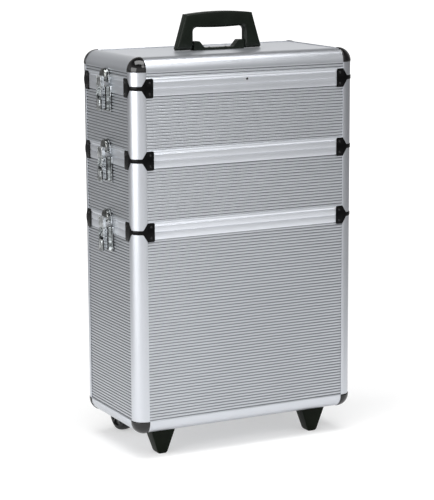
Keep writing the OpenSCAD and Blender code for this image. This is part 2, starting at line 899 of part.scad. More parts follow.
module bottom_rims() {
    color(aluminium) placed() difference() {
        rims_below(bottom_h);
        wall_bores(-1, bottom_h);
    }
}

module bottom_ball_corners() {
    color(black) placed() each_corner() ball_corner();
}

module bottom_seam_brackets() {
    placed() brackets_below(bottom_h);
}

module bottom_rivets() {
    placed() case_rivets(-1, bottom_h);
}

module bottom_latch_plates() {
    color(chrome) placed() each_latch(bottom_h) latch_base();
}

// One foot: a block that tapers to a bevelled sole.
module foot() {
    r = 3;
    module slab(w, d, z) {
        translate([0, 0, z]) linear_extrude(0.2) hull()
            for (sx = [-1, 1], sy = [-1, 1])
                translate([sx * (w / 2 - r), sy * (d / 2 - r)]) circle(r, $fn = 24);
    }
    hull() {
        slab(foot_top_w, foot_top_d, lip_t - 0.2);
        slab(foot_bottom_w + foot_bevel * 0.7, foot_bottom_d + foot_bevel * 0.2,
            foot_bevel - ground_clearance);
        slab(foot_bottom_w - foot_bevel, foot_bottom_d - foot_bevel, -ground_clearance);
    }
}

module feet() {
    color(black) placed() difference() {
        for (side = [-1, 1])
            translate([side * foot_x, foot_y, 0]) foot();
        at_foot_screws() screw_bore(foot_screw_depth);
    }
}

module base_screws() {
    color(steel) placed() {
        at_foot_screws() screw(foot_screw_depth);
        at_flange_screws() screw(flange_screw_depth);
        at_back_screws() screw(back_screw_depth);
    }
}

// A wheel housing: an arched well, two axle cheeks and flanges under and behind the case.
module wheel_housing() {
    module side_view(half) {
        rotate([90, 0, 90]) translate([0, 0, -half]) linear_extrude(2 * half) children();
    }
    difference() {
        union() {
            side_view(housing_half_w) intersection() {
                translate([wheel_y, wheel_z]) circle(housing_r);
                translate([0, 0]) square([case_d / 2, case_h]);
            }
            translate([-flange_half_w, flange_screw_y - flange_w, -flange_t])
                cube([2 * flange_half_w, case_d / 2 + flange_t - flange_screw_y + flange_w, flange_t]);
            translate([-flange_half_w, case_d / 2, -flange_t])
                cube([2 * flange_half_w, flange_t, housing_top_z + flange_t + 4]);
            side_view(housing_half_w) {
                translate([wheel_y, wheel_z]) circle(cheek_r);
                polygon([[wheel_y - 2 * cheek_r, 0], [wheel_y - cheek_r, wheel_z],
                    [wheel_y + cheek_r, wheel_z], [case_d / 2, 0]]);
            }
        }
        side_view(well_half_w) translate([wheel_y, wheel_z]) circle(arch_r);
        side_view(well_half_w) translate([wheel_y - arch_r, wheel_z - arch_r])
            square([2 * arch_r, arch_r]);
        side_view(housing_half_w + 1) translate([wheel_y, wheel_z]) circle(axle_r);
    }
}

module wheel_housings() {
    color(black) placed() difference() {
        each_wheel() wheel_housing();
        at_flange_screws() screw_bore(flange_screw_depth);
    }
}

module wheel_axles() {
    head = 1.5;
    color(steel) placed() each_wheel() translate([0, wheel_y, wheel_z]) rotate([0, 90, 0]) {
        cylinder(r = axle_r, h = 2 * housing_half_w, center = true);
        for (s = [0, 1])
            mirror([0, 0, s]) translate([0, 0, housing_half_w - eps])
                cylinder(r = axle_r + 1.5, h = head);
    }
}

// A wheel: a soft tyre with rounded shoulders on a hub with a raised boss.
module wheel(side) {
    half = wheel_w / 2;
    shoulder = 4;
    rim_r = wheel_r - 8;
    boss_r = axle_r + 5;
    dish = 4;
    color(black) placed() translate([side * wheel_x, wheel_y, wheel_z]) rotate([0, 90, 0])
        rotate_extrude($fn = 96) difference() {
            polygon([[axle_r + axle_gap, -half - 1], [boss_r, -half - 1], [boss_r, -half + dish],
                [rim_r, -half + dish], [rim_r, -half], [wheel_r - shoulder, -half],
                [wheel_r, -half + shoulder], [wheel_r, half - shoulder], [wheel_r - shoulder, half],
                [rim_r, half], [rim_r, half - dish], [boss_r, half - dish], [boss_r, half + 1],
                [axle_r + axle_gap, half + 1]]);
        }
}

module wheel_left() {
    wheel(left);
}

module wheel_right() {
    wheel(right);
}

// Pull handle: outer tubes held on the back, two drawn-out stages, and a grip.

module each_tube() {
    for (side = [-1, 1])
        translate([side * tube_x, tube_y, 0]) children();
}

module tube(low, high, r, inner) {
    translate([0, 0, low]) difference() {
        cylinder(r = r, h = high - low);
        translate([0, 0, -eps]) cylinder(r = inner, h = high - low + 2 * eps);
    }
}

module pull_brackets() {
    bar_half = bracket_screw_x + screw_head_r + 3;
    depth = tube_bracket_d;
    color(black) placed() difference() {
        union() {
            translate([-tube_x - tube_cup_half, case_d / 2, bracket_top_z - tube_bracket_h])
                cube([2 * (tube_x + tube_cup_half), depth, tube_bracket_h]);
            translate([-bar_half, case_d / 2, bracket_top_z - tube_bracket_h])
                cube([2 * bar_half, bracket_ear_t, tube_bracket_h]);
            for (side = [-1, 1]) {
                translate([side * tube_x - tube_cup_half, case_d / 2, tube_foot_z - tube_cap_t])
                    cube([2 * tube_cup_half, depth, tube_cup_h]);
                translate([side * (tube_x + bar_half) / 2 - (bar_half - tube_x) / 2, case_d / 2,
                    tube_foot_z - tube_cap_t])
                    cube([bar_half - tube_x, bracket_ear_t, tube_cup_h]);
            }
        }
        each_tube() {
            translate([0, 0, tube_foot_z]) cylinder(r = tube_r, h = outer_top_z - tube_foot_z);
            translate([0, 0, tube_foot_z]) cylinder(r = mid_r + tube_gap, h = case_h);
        }
        at_back_screws() screw_bore(bracket_ear_t + 1);
    }
}

module pull_outer_tubes() {
    color(aluminium) placed() each_tube() tube(tube_foot_z, outer_top_z, tube_r, tube_in_r);
}

module pull_middle_tubes() {
    color(aluminium) placed() each_tube() tube(tube_foot_z + tube_step, mid_top_z, mid_r, mid_in_r);
}

module pull_inner_tubes() {
    color(aluminium) placed() each_tube()
        tube(tube_foot_z + 2 * tube_step, grip_z + grip_socket, inner_r, inner_in_r);
}

module pull_grip() {
    round_r = grip_d / 2;
    color(black) placed() difference() {
        intersection() {
            translate([0, tube_y, grip_z]) along_wall(2 * grip_half) {
                translate([0, round_r]) circle(round_r);
                translate([0, grip_h - round_r]) circle(round_r);
                translate([-round_r, round_r]) square([grip_d, grip_h - grip_d]);
            }
            translate([0, tube_y + grip_d, grip_z]) rotate([90, 0, 0]) linear_extrude(2 * grip_d) {
                for (s = [-1, 1])
                    translate([s * (grip_half - grip_h / 2), grip_h / 2]) circle(grip_h / 2);
                translate([-grip_half + grip_h / 2, 0]) square([2 * grip_half - grip_h, grip_h]);
            }
        }
        each_tube() translate([0, 0, grip_z - 1]) cylinder(r = inner_r, h = grip_socket + 1);
        translate([-button_w / 2 - button_gap, tube_y - button_d / 2 - button_gap, button_floor_z])
            cube([button_w + 2 * button_gap, button_d + 2 * button_gap, grip_h]);
    }
}
module grip_button() {
    h = button_seat + button_over - 0.3;
    half = button_w / 2;
    bevel = 1.2;
    color(black) placed() translate([0, tube_y + button_d / 2, button_floor_z + button_travel + 0.3])
        rotate([90, 0, 0]) linear_extrude(button_d)
            polygon([[-half, 0], [half, 0], [half, h - bevel], [half - bevel, h], [bevel - half, h],
                [-half, h - bevel]]);
}

// Middle and top cases

module case_boards(low, high) {
    color(lining) placed() difference() {
        union() {
            wall_boards(low + rim_bar_h, high - rim_bar_h + 1);
            tray_floor(low);
        }
        wall_bores(low, high);
    }
}

module case_sheets(low, high) {
    color(ribbed) placed() difference() {
        wall_sheets(low + rim_bar_h, high - rim_bar_h + 1);
        wall_bores(low, high);
    }
}

module case_rims(low, high) {
    color(aluminium) placed() difference() {
        union() {
            rims_above(low);
            rims_below(high);
        }
        wall_bores(low, high);
    }
}

module case_brackets(low, high) {
    placed() {
        brackets_above(low);
        brackets_below(high);
    }
}

module case_latch_plates(low, high) {
    color(chrome) placed() {
        each_latch(low) keeper();
        each_latch(high) latch_base();
    }
}

module middle_boards() { case_boards(middle_z, top_z); }
module middle_sheets() { case_sheets(middle_z, top_z); }
module middle_posts() { placed() posts(middle_z, top_z); }
module middle_rims() { case_rims(middle_z, top_z); }
module middle_seam_brackets() { case_brackets(middle_z, top_z); }
module middle_rivets() { placed() case_rivets(middle_z, top_z); }
module middle_latch_plates() { case_latch_plates(middle_z, top_z); }

module top_boards() { case_boards(top_z, lid_z); }
module top_sheets() { case_sheets(top_z, lid_z); }
module top_posts() { placed() posts(top_z, lid_z); }
module top_rims() { case_rims(top_z, lid_z); }
module top_seam_brackets() { case_brackets(top_z, lid_z); }
module top_rivets() { placed() case_rivets(top_z, lid_z); }
module top_latch_plates() { case_latch_plates(top_z, lid_z); }

// Lid

// Turns what is drawn for the bottom of the case over onto its top.
module turned_over() {
    translate([0, 0, case_h]) mirror([0, 0, 1]) children();
}

// The single rivet in the middle of the lid's front rim; Z points out of the wall.
module at_front_rivet() {
    translate([0, -case_d / 2, 0]) at_spots([[0, lid_rivet_z]], lid_z) children();
}

// Rivets of the carry handle's base; Z points up from the lid's sheet.
module at_handle_rivets() {
    for (x = [-handle_rivet_x, handle_rivet_x])
        translate([x, 0, sheet_top_z]) children();
}

module handle_bores() {
    at_handle_rivets() translate([0, 0, -handle_rivet_depth])
        cylinder(r = rivet_r, h = handle_rivet_depth + handle_base_t + 1);
}

module lid_boards() {
    color(lining) placed() difference() {
        union() {
            wall_boards(lid_z + rim_bar_h, case_h - panel_start);
            turned_over() flat_board();
        }
        wall_bores(lid_z, -1);
        at_front_rivet() rivet_bore();
        handle_bores();
    }
}

module lid_sheets() {
    color(ribbed) placed() difference() {
        union() {
            wall_sheets(lid_z + rim_bar_h, case_h - panel_start);
            turned_over() flat_sheet();
        }
        wall_bores(lid_z, -1);
        at_front_rivet() rivet_bore();
        handle_bores();
    }
}

module lid_posts() {
    placed() posts(lid_z, case_h - edge_leg);
}

module lid_edges() {
    color(aluminium) placed() turned_over() bottom_edge_bars();
}

module lid_rims() {
    color(aluminium) placed() difference() {
        rims_above(lid_z);
        wall_bores(lid_z, -1);
        at_front_rivet() rivet_bore();
    }
}

module lid_ball_corners() {
    color(black) placed() turned_over() each_corner() ball_corner();
}

module lid_seam_brackets() {
    placed() brackets_above(lid_z);
}

module lid_rivets() {
    placed() {
        case_rivets(lid_z, -1);
        color(black) {
            at_front_rivet() rivet(0, rivet_depth);
            at_handle_rivets() rivet(handle_base_t, handle_rivet_depth);
        }
    }
}

module lid_latch_keepers() {
    color(chrome) placed() each_latch(lid_z) keeper();
}

module handle_base() {
    color(black) placed() difference() {
        translate([0, lug_w / 2, 0]) rotate([90, 0, 0]) linear_extrude(lug_w)
            polygon([[-lug_outer_x, sheet_top_z], [lug_outer_x, sheet_top_z],
                [lug_outer_x, handle_axis_z + lug_over_pin], [lug_inner_x, handle_axis_z + lug_over_pin],
                [lug_inner_x - lug_slope, sheet_top_z + handle_base_t],
                [lug_slope - lug_inner_x, sheet_top_z + handle_base_t],
                [-lug_inner_x, handle_axis_z + lug_over_pin], [-lug_outer_x, handle_axis_z + lug_over_pin]]);
        handle_bores();
        each_handle_pin() cylinder(r = handle_pin_r, h = 4 * handle_pin_in, center = true);
    }
}

// The pins' axis at each leg; Z points outwards, and z = 0 is the leg's inner face.
module each_handle_pin() {
    for (side = [0, 1])
        mirror([side, 0, 0]) translate([opening_half, 0, handle_axis_z]) rotate([0, 90, 0]) children();
}

module handle_pins() {
    in_lug = lug_gap + lug_len - 1;
    color(steel) placed() each_handle_pin()
        translate([0, 0, -in_lug]) cylinder(r = handle_pin_r, h = in_lug + handle_pin_in);
}

module handle_outline() {
    low = sheet_top_z + handle_gap;
    r = opening_corner_r;
    crown_r = (handle_top_half * handle_top_half + handle_crown * handle_crown) / (2 * handle_crown);
    difference() {
        intersection() {
            polygon([[-handle_foot_half, low], [handle_foot_half, low],
                [handle_top_half, shoulder_z], [handle_top_half, crown_z + 1],
                [-handle_top_half, crown_z + 1], [-handle_top_half, shoulder_z]]);
            translate([0, crown_z - crown_r]) circle(crown_r, $fn = 256);
        }
        translate([-opening_half, low - 1]) square([2 * opening_half, bar_under_z - r - low + 1]);
        translate([r - opening_half, low]) square([2 * (opening_half - r), bar_under_z - low]);
        for (s = [-1, 1])
            translate([s * (opening_half - r), bar_under_z - r]) circle(r);
    }
}

// The carry handle: its outline, rounded from front to back at the legs' feet and on top.
module carry_handle() {
    top_r = handle_t / 2;
    color(black) placed() difference() {
        intersection() {
            translate([0, handle_t / 2, 0]) rotate([90, 0, 0]) linear_extrude(handle_t) handle_outline();
            rotate([90, 0, 90]) translate([0, 0, -handle_foot_half - 1])
                linear_extrude(2 * handle_foot_half + 2) {
                    translate([0, handle_axis_z]) circle(handle_leg_r);
                    translate([0, crown_z - top_r]) circle(top_r);
                    translate([-handle_t / 2, handle_axis_z])
                        square([handle_t, crown_z - top_r - handle_axis_z]);
                }
        }
        each_handle_pin() translate([0, 0, -1])
            cylinder(r = handle_pin_r + pin_gap, h = handle_pin_in + 1 + lug_gap);
    }
}

module middle_latch_lever_left() { latch_lever(middle_z, left); }
module middle_latch_lever_right() { latch_lever(middle_z, right); }
module middle_latch_hook_left() { latch_hook(middle_z, left); }
module middle_latch_hook_right() { latch_hook(middle_z, right); }
module top_latch_lever_left() { latch_lever(top_z, left); }
module top_latch_lever_right() { latch_lever(top_z, right); }
module top_latch_hook_left() { latch_hook(top_z, left); }
module top_latch_hook_right() { latch_hook(top_z, right); }
module lid_latch_lever_left() { latch_lever(lid_z, left); }
module lid_latch_lever_right() { latch_lever(lid_z, right); }
module lid_latch_hook_left() { latch_hook(lid_z, left); }
module lid_latch_hook_right() { latch_hook(lid_z, right); }

bottom_boards();
bottom_sheets();
bottom_posts();
bottom_edges();
bottom_rims();
bottom_ball_corners();
bottom_seam_brackets();
bottom_rivets();
bottom_latch_plates();
feet();
base_screws();
wheel_housings();
wheel_axles();
wheel_left();
wheel_right();
pull_brackets();
pull_outer_tubes();
pull_middle_tubes();
pull_inner_tubes();
pull_grip();
grip_button();
middle_boards();
middle_sheets();
middle_posts();
middle_rims();
middle_seam_brackets();
middle_rivets();
middle_latch_plates();
top_boards();
top_sheets();
top_posts();
top_rims();
top_seam_brackets();
top_rivets();
top_latch_plates();
lid_boards();
lid_sheets();
lid_posts();
lid_edges();
lid_rims();
lid_ball_corners();
lid_seam_brackets();
lid_rivets();
lid_latch_keepers();
handle_base();
handle_pins();
carry_handle();
middle_latch_lever_left();
middle_latch_lever_right();
middle_latch_hook_left();
middle_latch_hook_right();
top_latch_lever_left();
top_latch_lever_right();
top_latch_hook_left();
top_latch_hook_right();
lid_latch_lever_left();
lid_latch_lever_right();
lid_latch_hook_left();
lid_latch_hook_right();
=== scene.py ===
import math
import bpy
import numpy as np
from mathutils import Matrix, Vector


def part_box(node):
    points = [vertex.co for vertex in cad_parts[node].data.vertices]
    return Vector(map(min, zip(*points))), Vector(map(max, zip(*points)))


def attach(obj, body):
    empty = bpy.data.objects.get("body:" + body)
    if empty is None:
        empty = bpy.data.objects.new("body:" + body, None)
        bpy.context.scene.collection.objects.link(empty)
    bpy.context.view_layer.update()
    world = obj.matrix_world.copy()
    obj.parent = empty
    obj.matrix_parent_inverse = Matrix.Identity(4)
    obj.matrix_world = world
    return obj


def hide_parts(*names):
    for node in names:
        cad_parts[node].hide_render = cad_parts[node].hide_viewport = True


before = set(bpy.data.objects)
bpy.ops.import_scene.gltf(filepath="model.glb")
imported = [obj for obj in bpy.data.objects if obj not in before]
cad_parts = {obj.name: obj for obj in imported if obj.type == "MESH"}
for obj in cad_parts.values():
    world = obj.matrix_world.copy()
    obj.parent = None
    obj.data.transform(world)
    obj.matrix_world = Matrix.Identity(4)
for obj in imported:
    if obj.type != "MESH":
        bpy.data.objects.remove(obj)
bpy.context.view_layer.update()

# The corner posts are drawn aluminium extrusions with a large outer radius. Their two
# slots hold the panels. Each section of the case has four of them, cut off at the seams.
mm = 0.001
right, back, up = np.eye(3)
post_low, post_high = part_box("bottom_posts")
half_w = post_high.x
front_y = post_low.y
back_y = post_high.y
mid_y = (front_y + back_y) / 2
half_d = (back_y - front_y) / 2
base_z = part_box("bottom_edges")[0].z
top_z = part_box("lid_edges")[1].z
seams = {"middle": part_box("middle_posts")[0].z, "top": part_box("top_posts")[0].z,
         "lid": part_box("lid_posts")[0].z}
sections = {"bottom": (base_z, seams["middle"]), "middle": (seams["middle"], seams["top"]),
            "top": (seams["top"], seams["lid"]), "lid": (seams["lid"], top_z)}
leg = 24 * mm
corner_r = 22 * mm
lip = 1.2 * mm
slot_bottom = 17 * mm
panel_t = 6.4 * mm
wall_t = panel_t + 2 * lip


def eased(points, radius, steps=6):
    """Outline with rounded corners. At each corner an arc of the given radius touches both edges;
    its points are centre + (sin((1-t)w) u + sin(tw) v) / sin(w), with u and v its two end radii."""
    p = np.asarray(points, float)
    before, after = np.roll(p, 1, 0) - p, np.roll(p, -1, 0) - p
    len_a, len_b = np.linalg.norm(before, axis=1), np.linalg.norm(after, axis=1)
    before, after = before / len_a[:, None], after / len_b[:, None]
    half = np.arccos(np.clip((before * after).sum(1), -0.9999, 0.9999)) / 2
    cut = np.broadcast_to(radius, len(p)) / np.tan(half)
    fit = np.minimum(1, 0.999 * len_b / np.maximum(cut + np.roll(cut, -1), 1e-12))
    cut = cut * np.minimum(fit, np.roll(fit, 1))
    middle = before + after
    middle /= np.maximum(np.linalg.norm(middle, axis=1), 1e-9)[:, None]
    centre = p + middle * (cut * np.tan(half) / np.sin(half))[:, None]
    u, v = p + before * cut[:, None] - centre, p + after * cut[:, None] - centre
    sweep = np.maximum(math.pi - 2 * half, 1e-4)[:, None, None]
    t = np.linspace(0, 1, steps + 1)[None, :, None]
    swept = np.sin((1 - t) * sweep) * u[:, None] + np.sin(t * sweep) * v[:, None]
    line = (centre[:, None] + swept / np.sin(sweep)).reshape(-1, p.shape[1])
    return line[np.linalg.norm(line - np.roll(line, 1, 0), axis=1) > 1e-7]


def way_along(line):
    """Distance of each point of a line from its first point, measured along the line."""
    return np.r_[0, np.cumsum(np.linalg.norm(np.diff(line, axis=0), axis=1))]


def ring_faces(rings, count, turned_over=False):
    """The skin over closed rings of count points each, and its two end caps: point k of a ring
    joins point k + 1 and the same two points of the next ring."""
    k = np.arange(count)
    rows = np.arange(rings - 1)[:, None] * count
    i, j = (rows + k).ravel(), (rows + (k + 1) % count).ravel()
    quads = np.c_[i, j, j + count, i + count]
    caps = [k[::-1], k + (rings - 1) * count]
    if turned_over:
        quads, caps = quads[:, [0, 3, 2, 1]], [cap[::-1] for cap in caps]
    return [*quads.tolist(), *[cap.tolist() for cap in caps]]


def carried(outline, origin, across, rise, along, length):
    """A closed outline carried along a straight line: its point (a, b) at distance t lies at
    origin + a * across + b * rise + t * along. UV is the way round the outline and t."""
    p = np.asarray(outline, float)
    x, y = p.T
    if (x * np.roll(y, -1) - y * np.roll(x, -1)).sum() < 0:
        p = p[::-1]
    ends = [np.asarray(origin, float) + t * along + p[:, :1] * across + p[:, 1:] * rise for t in (0, length)]
    uv = np.vstack([np.c_[way_along(p), np.full(len(p), t)] for t in (0, length)])
    faces = ring_faces(2, len(p))
    if np.dot(np.cross(across, rise), along) < 0:
        faces = [f[::-1] for f in faces]
    return np.vstack(ends), faces, uv


def soften(made, width):
    """A bevel of the given width on every edge that turns by more than 40 degrees."""
    bevel = made.modifiers.new("eased_edges", "BEVEL")
    bevel.width = width
    bevel.segments = 2
    bevel.limit_method = "ANGLE"
    bevel.angle_limit = math.radians(40)
    bevel.harden_normals = True


def in_scene(name, data):
    """A new object in the scene, at the origin."""
    made = bpy.data.objects.new(name, data)
    bpy.context.scene.collection.objects.link(made)
    return made


def piece(name, parts, finish, body, node, crease=35, ease=0.0):
    """One object from several parts of points, faces and UV, in place of a node. Faces that meet
    under the crease angle shade smoothly, and ease is the width of the bevel on sharp edges."""
    points = np.vstack([p for p, f, uv in parts])
    starts = np.cumsum([0] + [len(p) for p, f, uv in parts])
    faces = [[v + start for v in f] for (p, fs, uv), start in zip(parts, starts) for f in fs]
    mesh = bpy.data.meshes.new(name)
    mesh.from_pydata(points.tolist(), [], faces)
    layer = mesh.uv_layers.new(name="along")
    corner = np.zeros(len(mesh.loops), np.int32)
    mesh.loops.foreach_get("vertex_index", corner)
    layer.data.foreach_set("uv", np.vstack([uv for p, f, uv in parts])[corner].astype(np.float32).ravel())
    mesh.polygons.foreach_set("use_smooth", np.ones(len(mesh.polygons), bool))
    mesh.set_sharp_from_angle(angle=math.radians(crease))
    mesh.materials.append(finish)
    made = in_scene(name, mesh)
    if ease:
        soften(made, ease)
    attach(made, body)
    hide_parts(node)
    return made


def adder(tree):
    """A function that adds a shader node to a tree: each setting is a value, a joined output, or
    a property of the node. i0, i1 and so on name an input by its number."""
    def add(kind, **settings):
        made = tree.nodes.new("ShaderNode" + kind) if isinstance(kind, str) else kind
        for key, value in settings.items():
            socket = int(key[1:]) if key[0] == "i" and key[1:].isdigit() else key.replace("_", " ")
            if isinstance(value, bpy.types.NodeSocket):
                tree.links.new(value, made.inputs[socket])
            elif hasattr(made, key):
                setattr(made, key, value)
            else:
                made.inputs[socket].default_value = value
        return made

    return add


def blend(add, share, first, last):
    """A colour that goes from first to last with the share. Each is RGB numbers or an output."""
    ends = [c if isinstance(c, bpy.types.NodeSocket) else (*c, 1) for c in (first, last)]
    return add("Mix", data_type="RGBA", i0=share, i6=ends[0], i7=ends[1]).outputs[2]


def ramp(add, value, start, end, first, last, **more):
    """A number that goes from first to last while the value goes from start to end."""
    return add("MapRange", Value=value, From_Min=start, From_Max=end, To_Min=first, To_Max=last,
               **more).outputs[0]


def noise(add, place, scale, detail, **more):
    """Noise over the places that an output gives."""
    return add("TexNoise", Vector=place, Scale=scale, Detail=detail, **more).outputs[0]


def coat(add, shader, colour, gloss, height, strength, relief):
    """Joins a colour, a roughness and a height map of the given relief to the shader."""
    bump = add("Bump", Height=height, Strength=strength, Distance=relief)
    add(shader, Base_Color=colour, Roughness=gloss, Normal=bump.outputs[0])


def finish_of(name, roughness, metallic=0.0):
    """A new Principled material, its shader, the function that adds nodes to it and the
    coordinates that they read."""
    material = bpy.data.materials.new(name)
    material.use_nodes = True
    add = adder(material.node_tree)
    shader = add(material.node_tree.nodes["Principled BSDF"], Metallic=metallic, Roughness=roughness)
    return material, shader, add, add("TexCoord").outputs


def drawn_aluminium(name, tone, spread, roughness, streak, relief):
    """Satin metal drawn or rolled along the UV's second direction: noise stretched that way
    moves its tone, its roughness and its height, and a wider cloud dulls it in patches."""
    material, shader, add, place = finish_of(name, roughness, 1.0)
    stretch = add("Mapping", Vector=place["UV"], Scale=(streak, streak / 160, 1))
    lines = noise(add, stretch.outputs[0], 1.0, 5.0, Roughness=0.65)
    clouds = noise(add, place["Object"], 14.0, 3.0)
    both = add("Mix", data_type="FLOAT", Factor=0.4, A=lines, B=clouds).outputs[0]
    colour = blend(add, both, [c * (1 - spread) for c in tone], [c * (1 + spread) for c in tone])
    gloss = ramp(add, both, 0, 1, roughness - 0.06, roughness + 0.06)
    coat(add, shader, colour, gloss, lines, 0.35, relief)
    return material


post_outline = eased(
    [(0, 0), (0, leg), (lip, leg), (lip, slot_bottom), (lip + panel_t, slot_bottom), (lip + panel_t, leg),
     (wall_t, leg), (wall_t, wall_t), (leg, wall_t), (leg, lip + panel_t), (slot_bottom, lip + panel_t),
     (slot_bottom, lip), (leg, lip), (leg, 0)],
    [corner_r] + [0.4 * mm] * 2 + [0.05 * mm] * 9 + [0.4 * mm] * 2, steps=14)
corners = [(sx, sy) for sx in (-1, 1) for sy in (-1, 1)]
extrusion = drawn_aluminium("satin_extrusion", (0.57, 0.589, 0.625), 0.05, 0.36, 900, 0.02 * mm)


def corner_at(sx, sy, z):
    """Where the outer faces of two walls would meet in the corner at (sx, sy)."""
    return np.array([sx * half_w, mid_y + sy * half_d, z])


def post(sx, sy, low, high):
    """The post's outline carried upwards in its corner."""
    return carried(post_outline, corner_at(sx, sy, low), -sx * right, -sy * back, up, high - low)


for section, (low, high) in sections.items():
    foot = low + leg * (section == "bottom")
    head = high - leg * (section == "lid")
    parts = [post(sx, sy, foot, head) for sx, sy in corners]
    piece(f"{section}_corner_posts", parts, extrusion, section, f"{section}_posts")

# The same extrusion closes the edges round the lid's top and the case's bottom. The rear
# bottom bar is cut away where the two wheel housings come through.
walls = [(np.array([0, front_y, 0]), back, right, half_w),
         (np.array([0, back_y, 0]), -back, right, half_w),
         (np.array([-half_w, mid_y, 0]), right, back, half_d),
         (np.array([half_w, mid_y, 0]), -right, back, half_d)]
housing_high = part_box("wheel_housings")[1]
axle_head = 1.5 * mm
wheel_wide = 26 * mm
housing_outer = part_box("wheel_axles")[1].x - axle_head
housing_inner = 2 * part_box("wheel_right")[0].x + wheel_wide - housing_outer


def beside_housings(reach):
    """The three spans of the back wall from -reach to reach that the two housings leave free."""
    return [(-reach, -housing_outer), (-housing_inner, housing_inner), (housing_outer, reach)]


def edge_bar(wall, z, rise, start, end):
    """The edge outline carried along a wall from start to end, measured from its middle."""
    middle, inward, along, reach = wall
    return carried(post_outline, middle + along * start + up * z, inward, up * rise, along, end - start)


for section, z, rise in (("bottom", base_z, 1), ("lid", top_z, -1)):
    parts = []
    for number, wall in enumerate(walls):
        reach = wall[3] - leg
        cuts = beside_housings(reach) if section == "bottom" and number == 1 else [(-reach, reach)]
        parts += [edge_bar(wall, z, rise, start, end) for start, end in cuts]
    piece(f"{section}_edge_bars", parts, extrusion, section, f"{section}_edges")

# At each seam two rims meet: the lower one is a plain band with a tongue on top, and the
# upper one has the groove for it, a fine line and a narrow bead where its lip ends.
rim_slot, rim_back = 7.6, 8.8  # rim sizes are in millimetres
lower_h, upper_h = 13, 17
lower_seat, upper_seat = 4, 5
tongue_in, tongue_out, tongue_h = 5.4, 3.4, 3
slack = 0.3
lip_mm = lip / mm
lower_rim = eased(
    [(1.2, 0), (1.2, -0.5), (0, -0.5), (0, -lower_h), (lip_mm, -lower_h), (lip_mm, -lower_seat),
     (rim_slot, -lower_seat), (rim_slot, -lower_h), (rim_back, -lower_h), (rim_back, 0),
     (tongue_in, 0), (tongue_in, tongue_h), (tongue_out, tongue_h), (tongue_out, 0)],
    [0, 0, 0.15, 0.5, 0.3] + [0.1] * 9) * mm
bead = [(0.0, 10.4), (0.55, 10.9), (0.55, 11.4), (0.05, 12.0), (-0.25, 12.8), (-0.35, 14.0),
        (-0.25, 15.2), (0.1, 16.2)]
upper_rim = eased(
    [(0, 0), *bead, (0.3, upper_h), (lip_mm, upper_h), (lip_mm, upper_seat), (rim_slot, upper_seat),
     (rim_slot, upper_h), (rim_back, upper_h), (rim_back, 0), (tongue_in + slack, 0),
     (tongue_in + slack, tongue_h + slack), (tongue_out - slack, tongue_h + slack), (tongue_out - slack, 0)],
    [0.5] + [0.25] * 8 + [0.2] * 11) * mm
rim_finish = drawn_aluminium("satin_rims", (0.84, 0.868, 0.92), 0.05, 0.3, 900, 0.01 * mm)


def rims(outline, seam):
    """A rim's outline carried along the four walls between the posts."""
    return [carried(outline, middle + along * (leg - reach) + up * seam, inward, up, along, 2 * (reach - leg))
            for middle, inward, along, reach in walls]


for section, (low, high) in sections.items():
    parts = [] if section == "bottom" else rims(upper_rim, low)
    parts += [] if section == "lid" else rims(lower_rim, high)
    piece(f"{section}_seam_rims", parts, rim_finish, section, f"{section}_rims")

# Ribbed aluminium sheets fill the walls: flat crests and narrow rounded grooves, rolled into 1.4 mm sheet,
# with painted shade in the grooves. Smooth sheet closes the bottom and the lid's top, where a lighter tone is
# painted light for the top's brighter lighting.
pitch = 5.1 * mm
groove = 2.4 * mm
groove_floor = 0.6 * mm
groove_depth = 0.8 * mm
sheet_t = 1.4 * mm
ribbed = drawn_aluminium("ribbed_sheet", (0.54, 0.559, 0.592), 0.07, 0.4, 700, 0.03 * mm)


def paint_groove_shade(material):
    """Painted shade in the grooves: the mesh's depth attribute darkens the sheet's tone there, where the
    grooves lie in shadow.
    """
    add = adder(material.node_tree)
    shader = material.node_tree.nodes["Principled BSDF"]
    plain = shader.inputs["Base Color"].links[0].from_socket
    depth = add("Attribute", attribute_name="depth")
    # Painted shade: the grooves' tone is blended towards a dark grey with depth.
    add(shader, Base_Color=blend(add, depth.outputs["Fac"], plain, (0.18, 0.188, 0.2)))


paint_groove_shade(ribbed)


def mark_depth(mesh):
    """Depth of each point behind the nearest wall's face, from 0 on a crest to 1 in a groove. The power below
    1 spreads the painted shade over the groove's flanks; points further in have none."""
    co = np.zeros(len(mesh.vertices) * 3)
    mesh.vertices.foreach_get("co", co)
    x, y, z = co.reshape(-1, 3).T
    behind = np.minimum(half_w - np.abs(x), half_d - np.abs(y - mid_y)) - lip
    share = np.where(behind < groove_depth * 1.2, np.clip(behind / groove_depth, 0, 1) ** 0.6, 0)
    depth = mesh.attributes.new("depth", "FLOAT", "POINT")
    depth.data.foreach_set("value", share.astype(np.float32))


def ribbed_outline(low, high, foot, top):
    """Outline of the sheet between foot and top. The grooves are centred on the panel from low to
    high; at distance d from a groove's middle the face lies smoothstep((mouth - d) / flank) deep."""
    count = math.floor((high - low - groove) / pitch)
    centres = (low + high) / 2 + (np.arange(count) - (count - 1) / 2) * pitch
    away = np.array([-1, -0.75, -0.5, -0.25, 0.25, 0.5, 0.75, 1]) * groove / 2
    z = (centres[:, None] + away).ravel()
    margin = pitch / 9
    z = np.r_[foot, z[(z > foot + margin) & (z < top - margin)], top]
    d = np.abs(z[:, None] - centres).min(1)
    t = np.clip((groove / 2 - d) / (groove / 2 - groove_floor / 2), 0, 1)
    face = np.c_[groove_depth * t * t * (3 - 2 * t), z]
    return np.vstack([face, [(sheet_t, top), (sheet_t, foot)]])


def ribbed_wall(wall, low, high, start, end, foot=None):
    """The ribbed outline carried along a wall from start to end, behind the extrusions' lips."""
    middle, inward, along, reach = wall
    outline = ribbed_outline(low, high, low if foot is None else foot, high)
    return carried(outline, middle + inward * lip + along * start, inward, up, along, end - start)


def oblong(x0, y0, x1, y1):
    """The four corners of an upright rectangle."""
    return [(x0, y0), (x1, y0), (x1, y1), (x0, y1)]


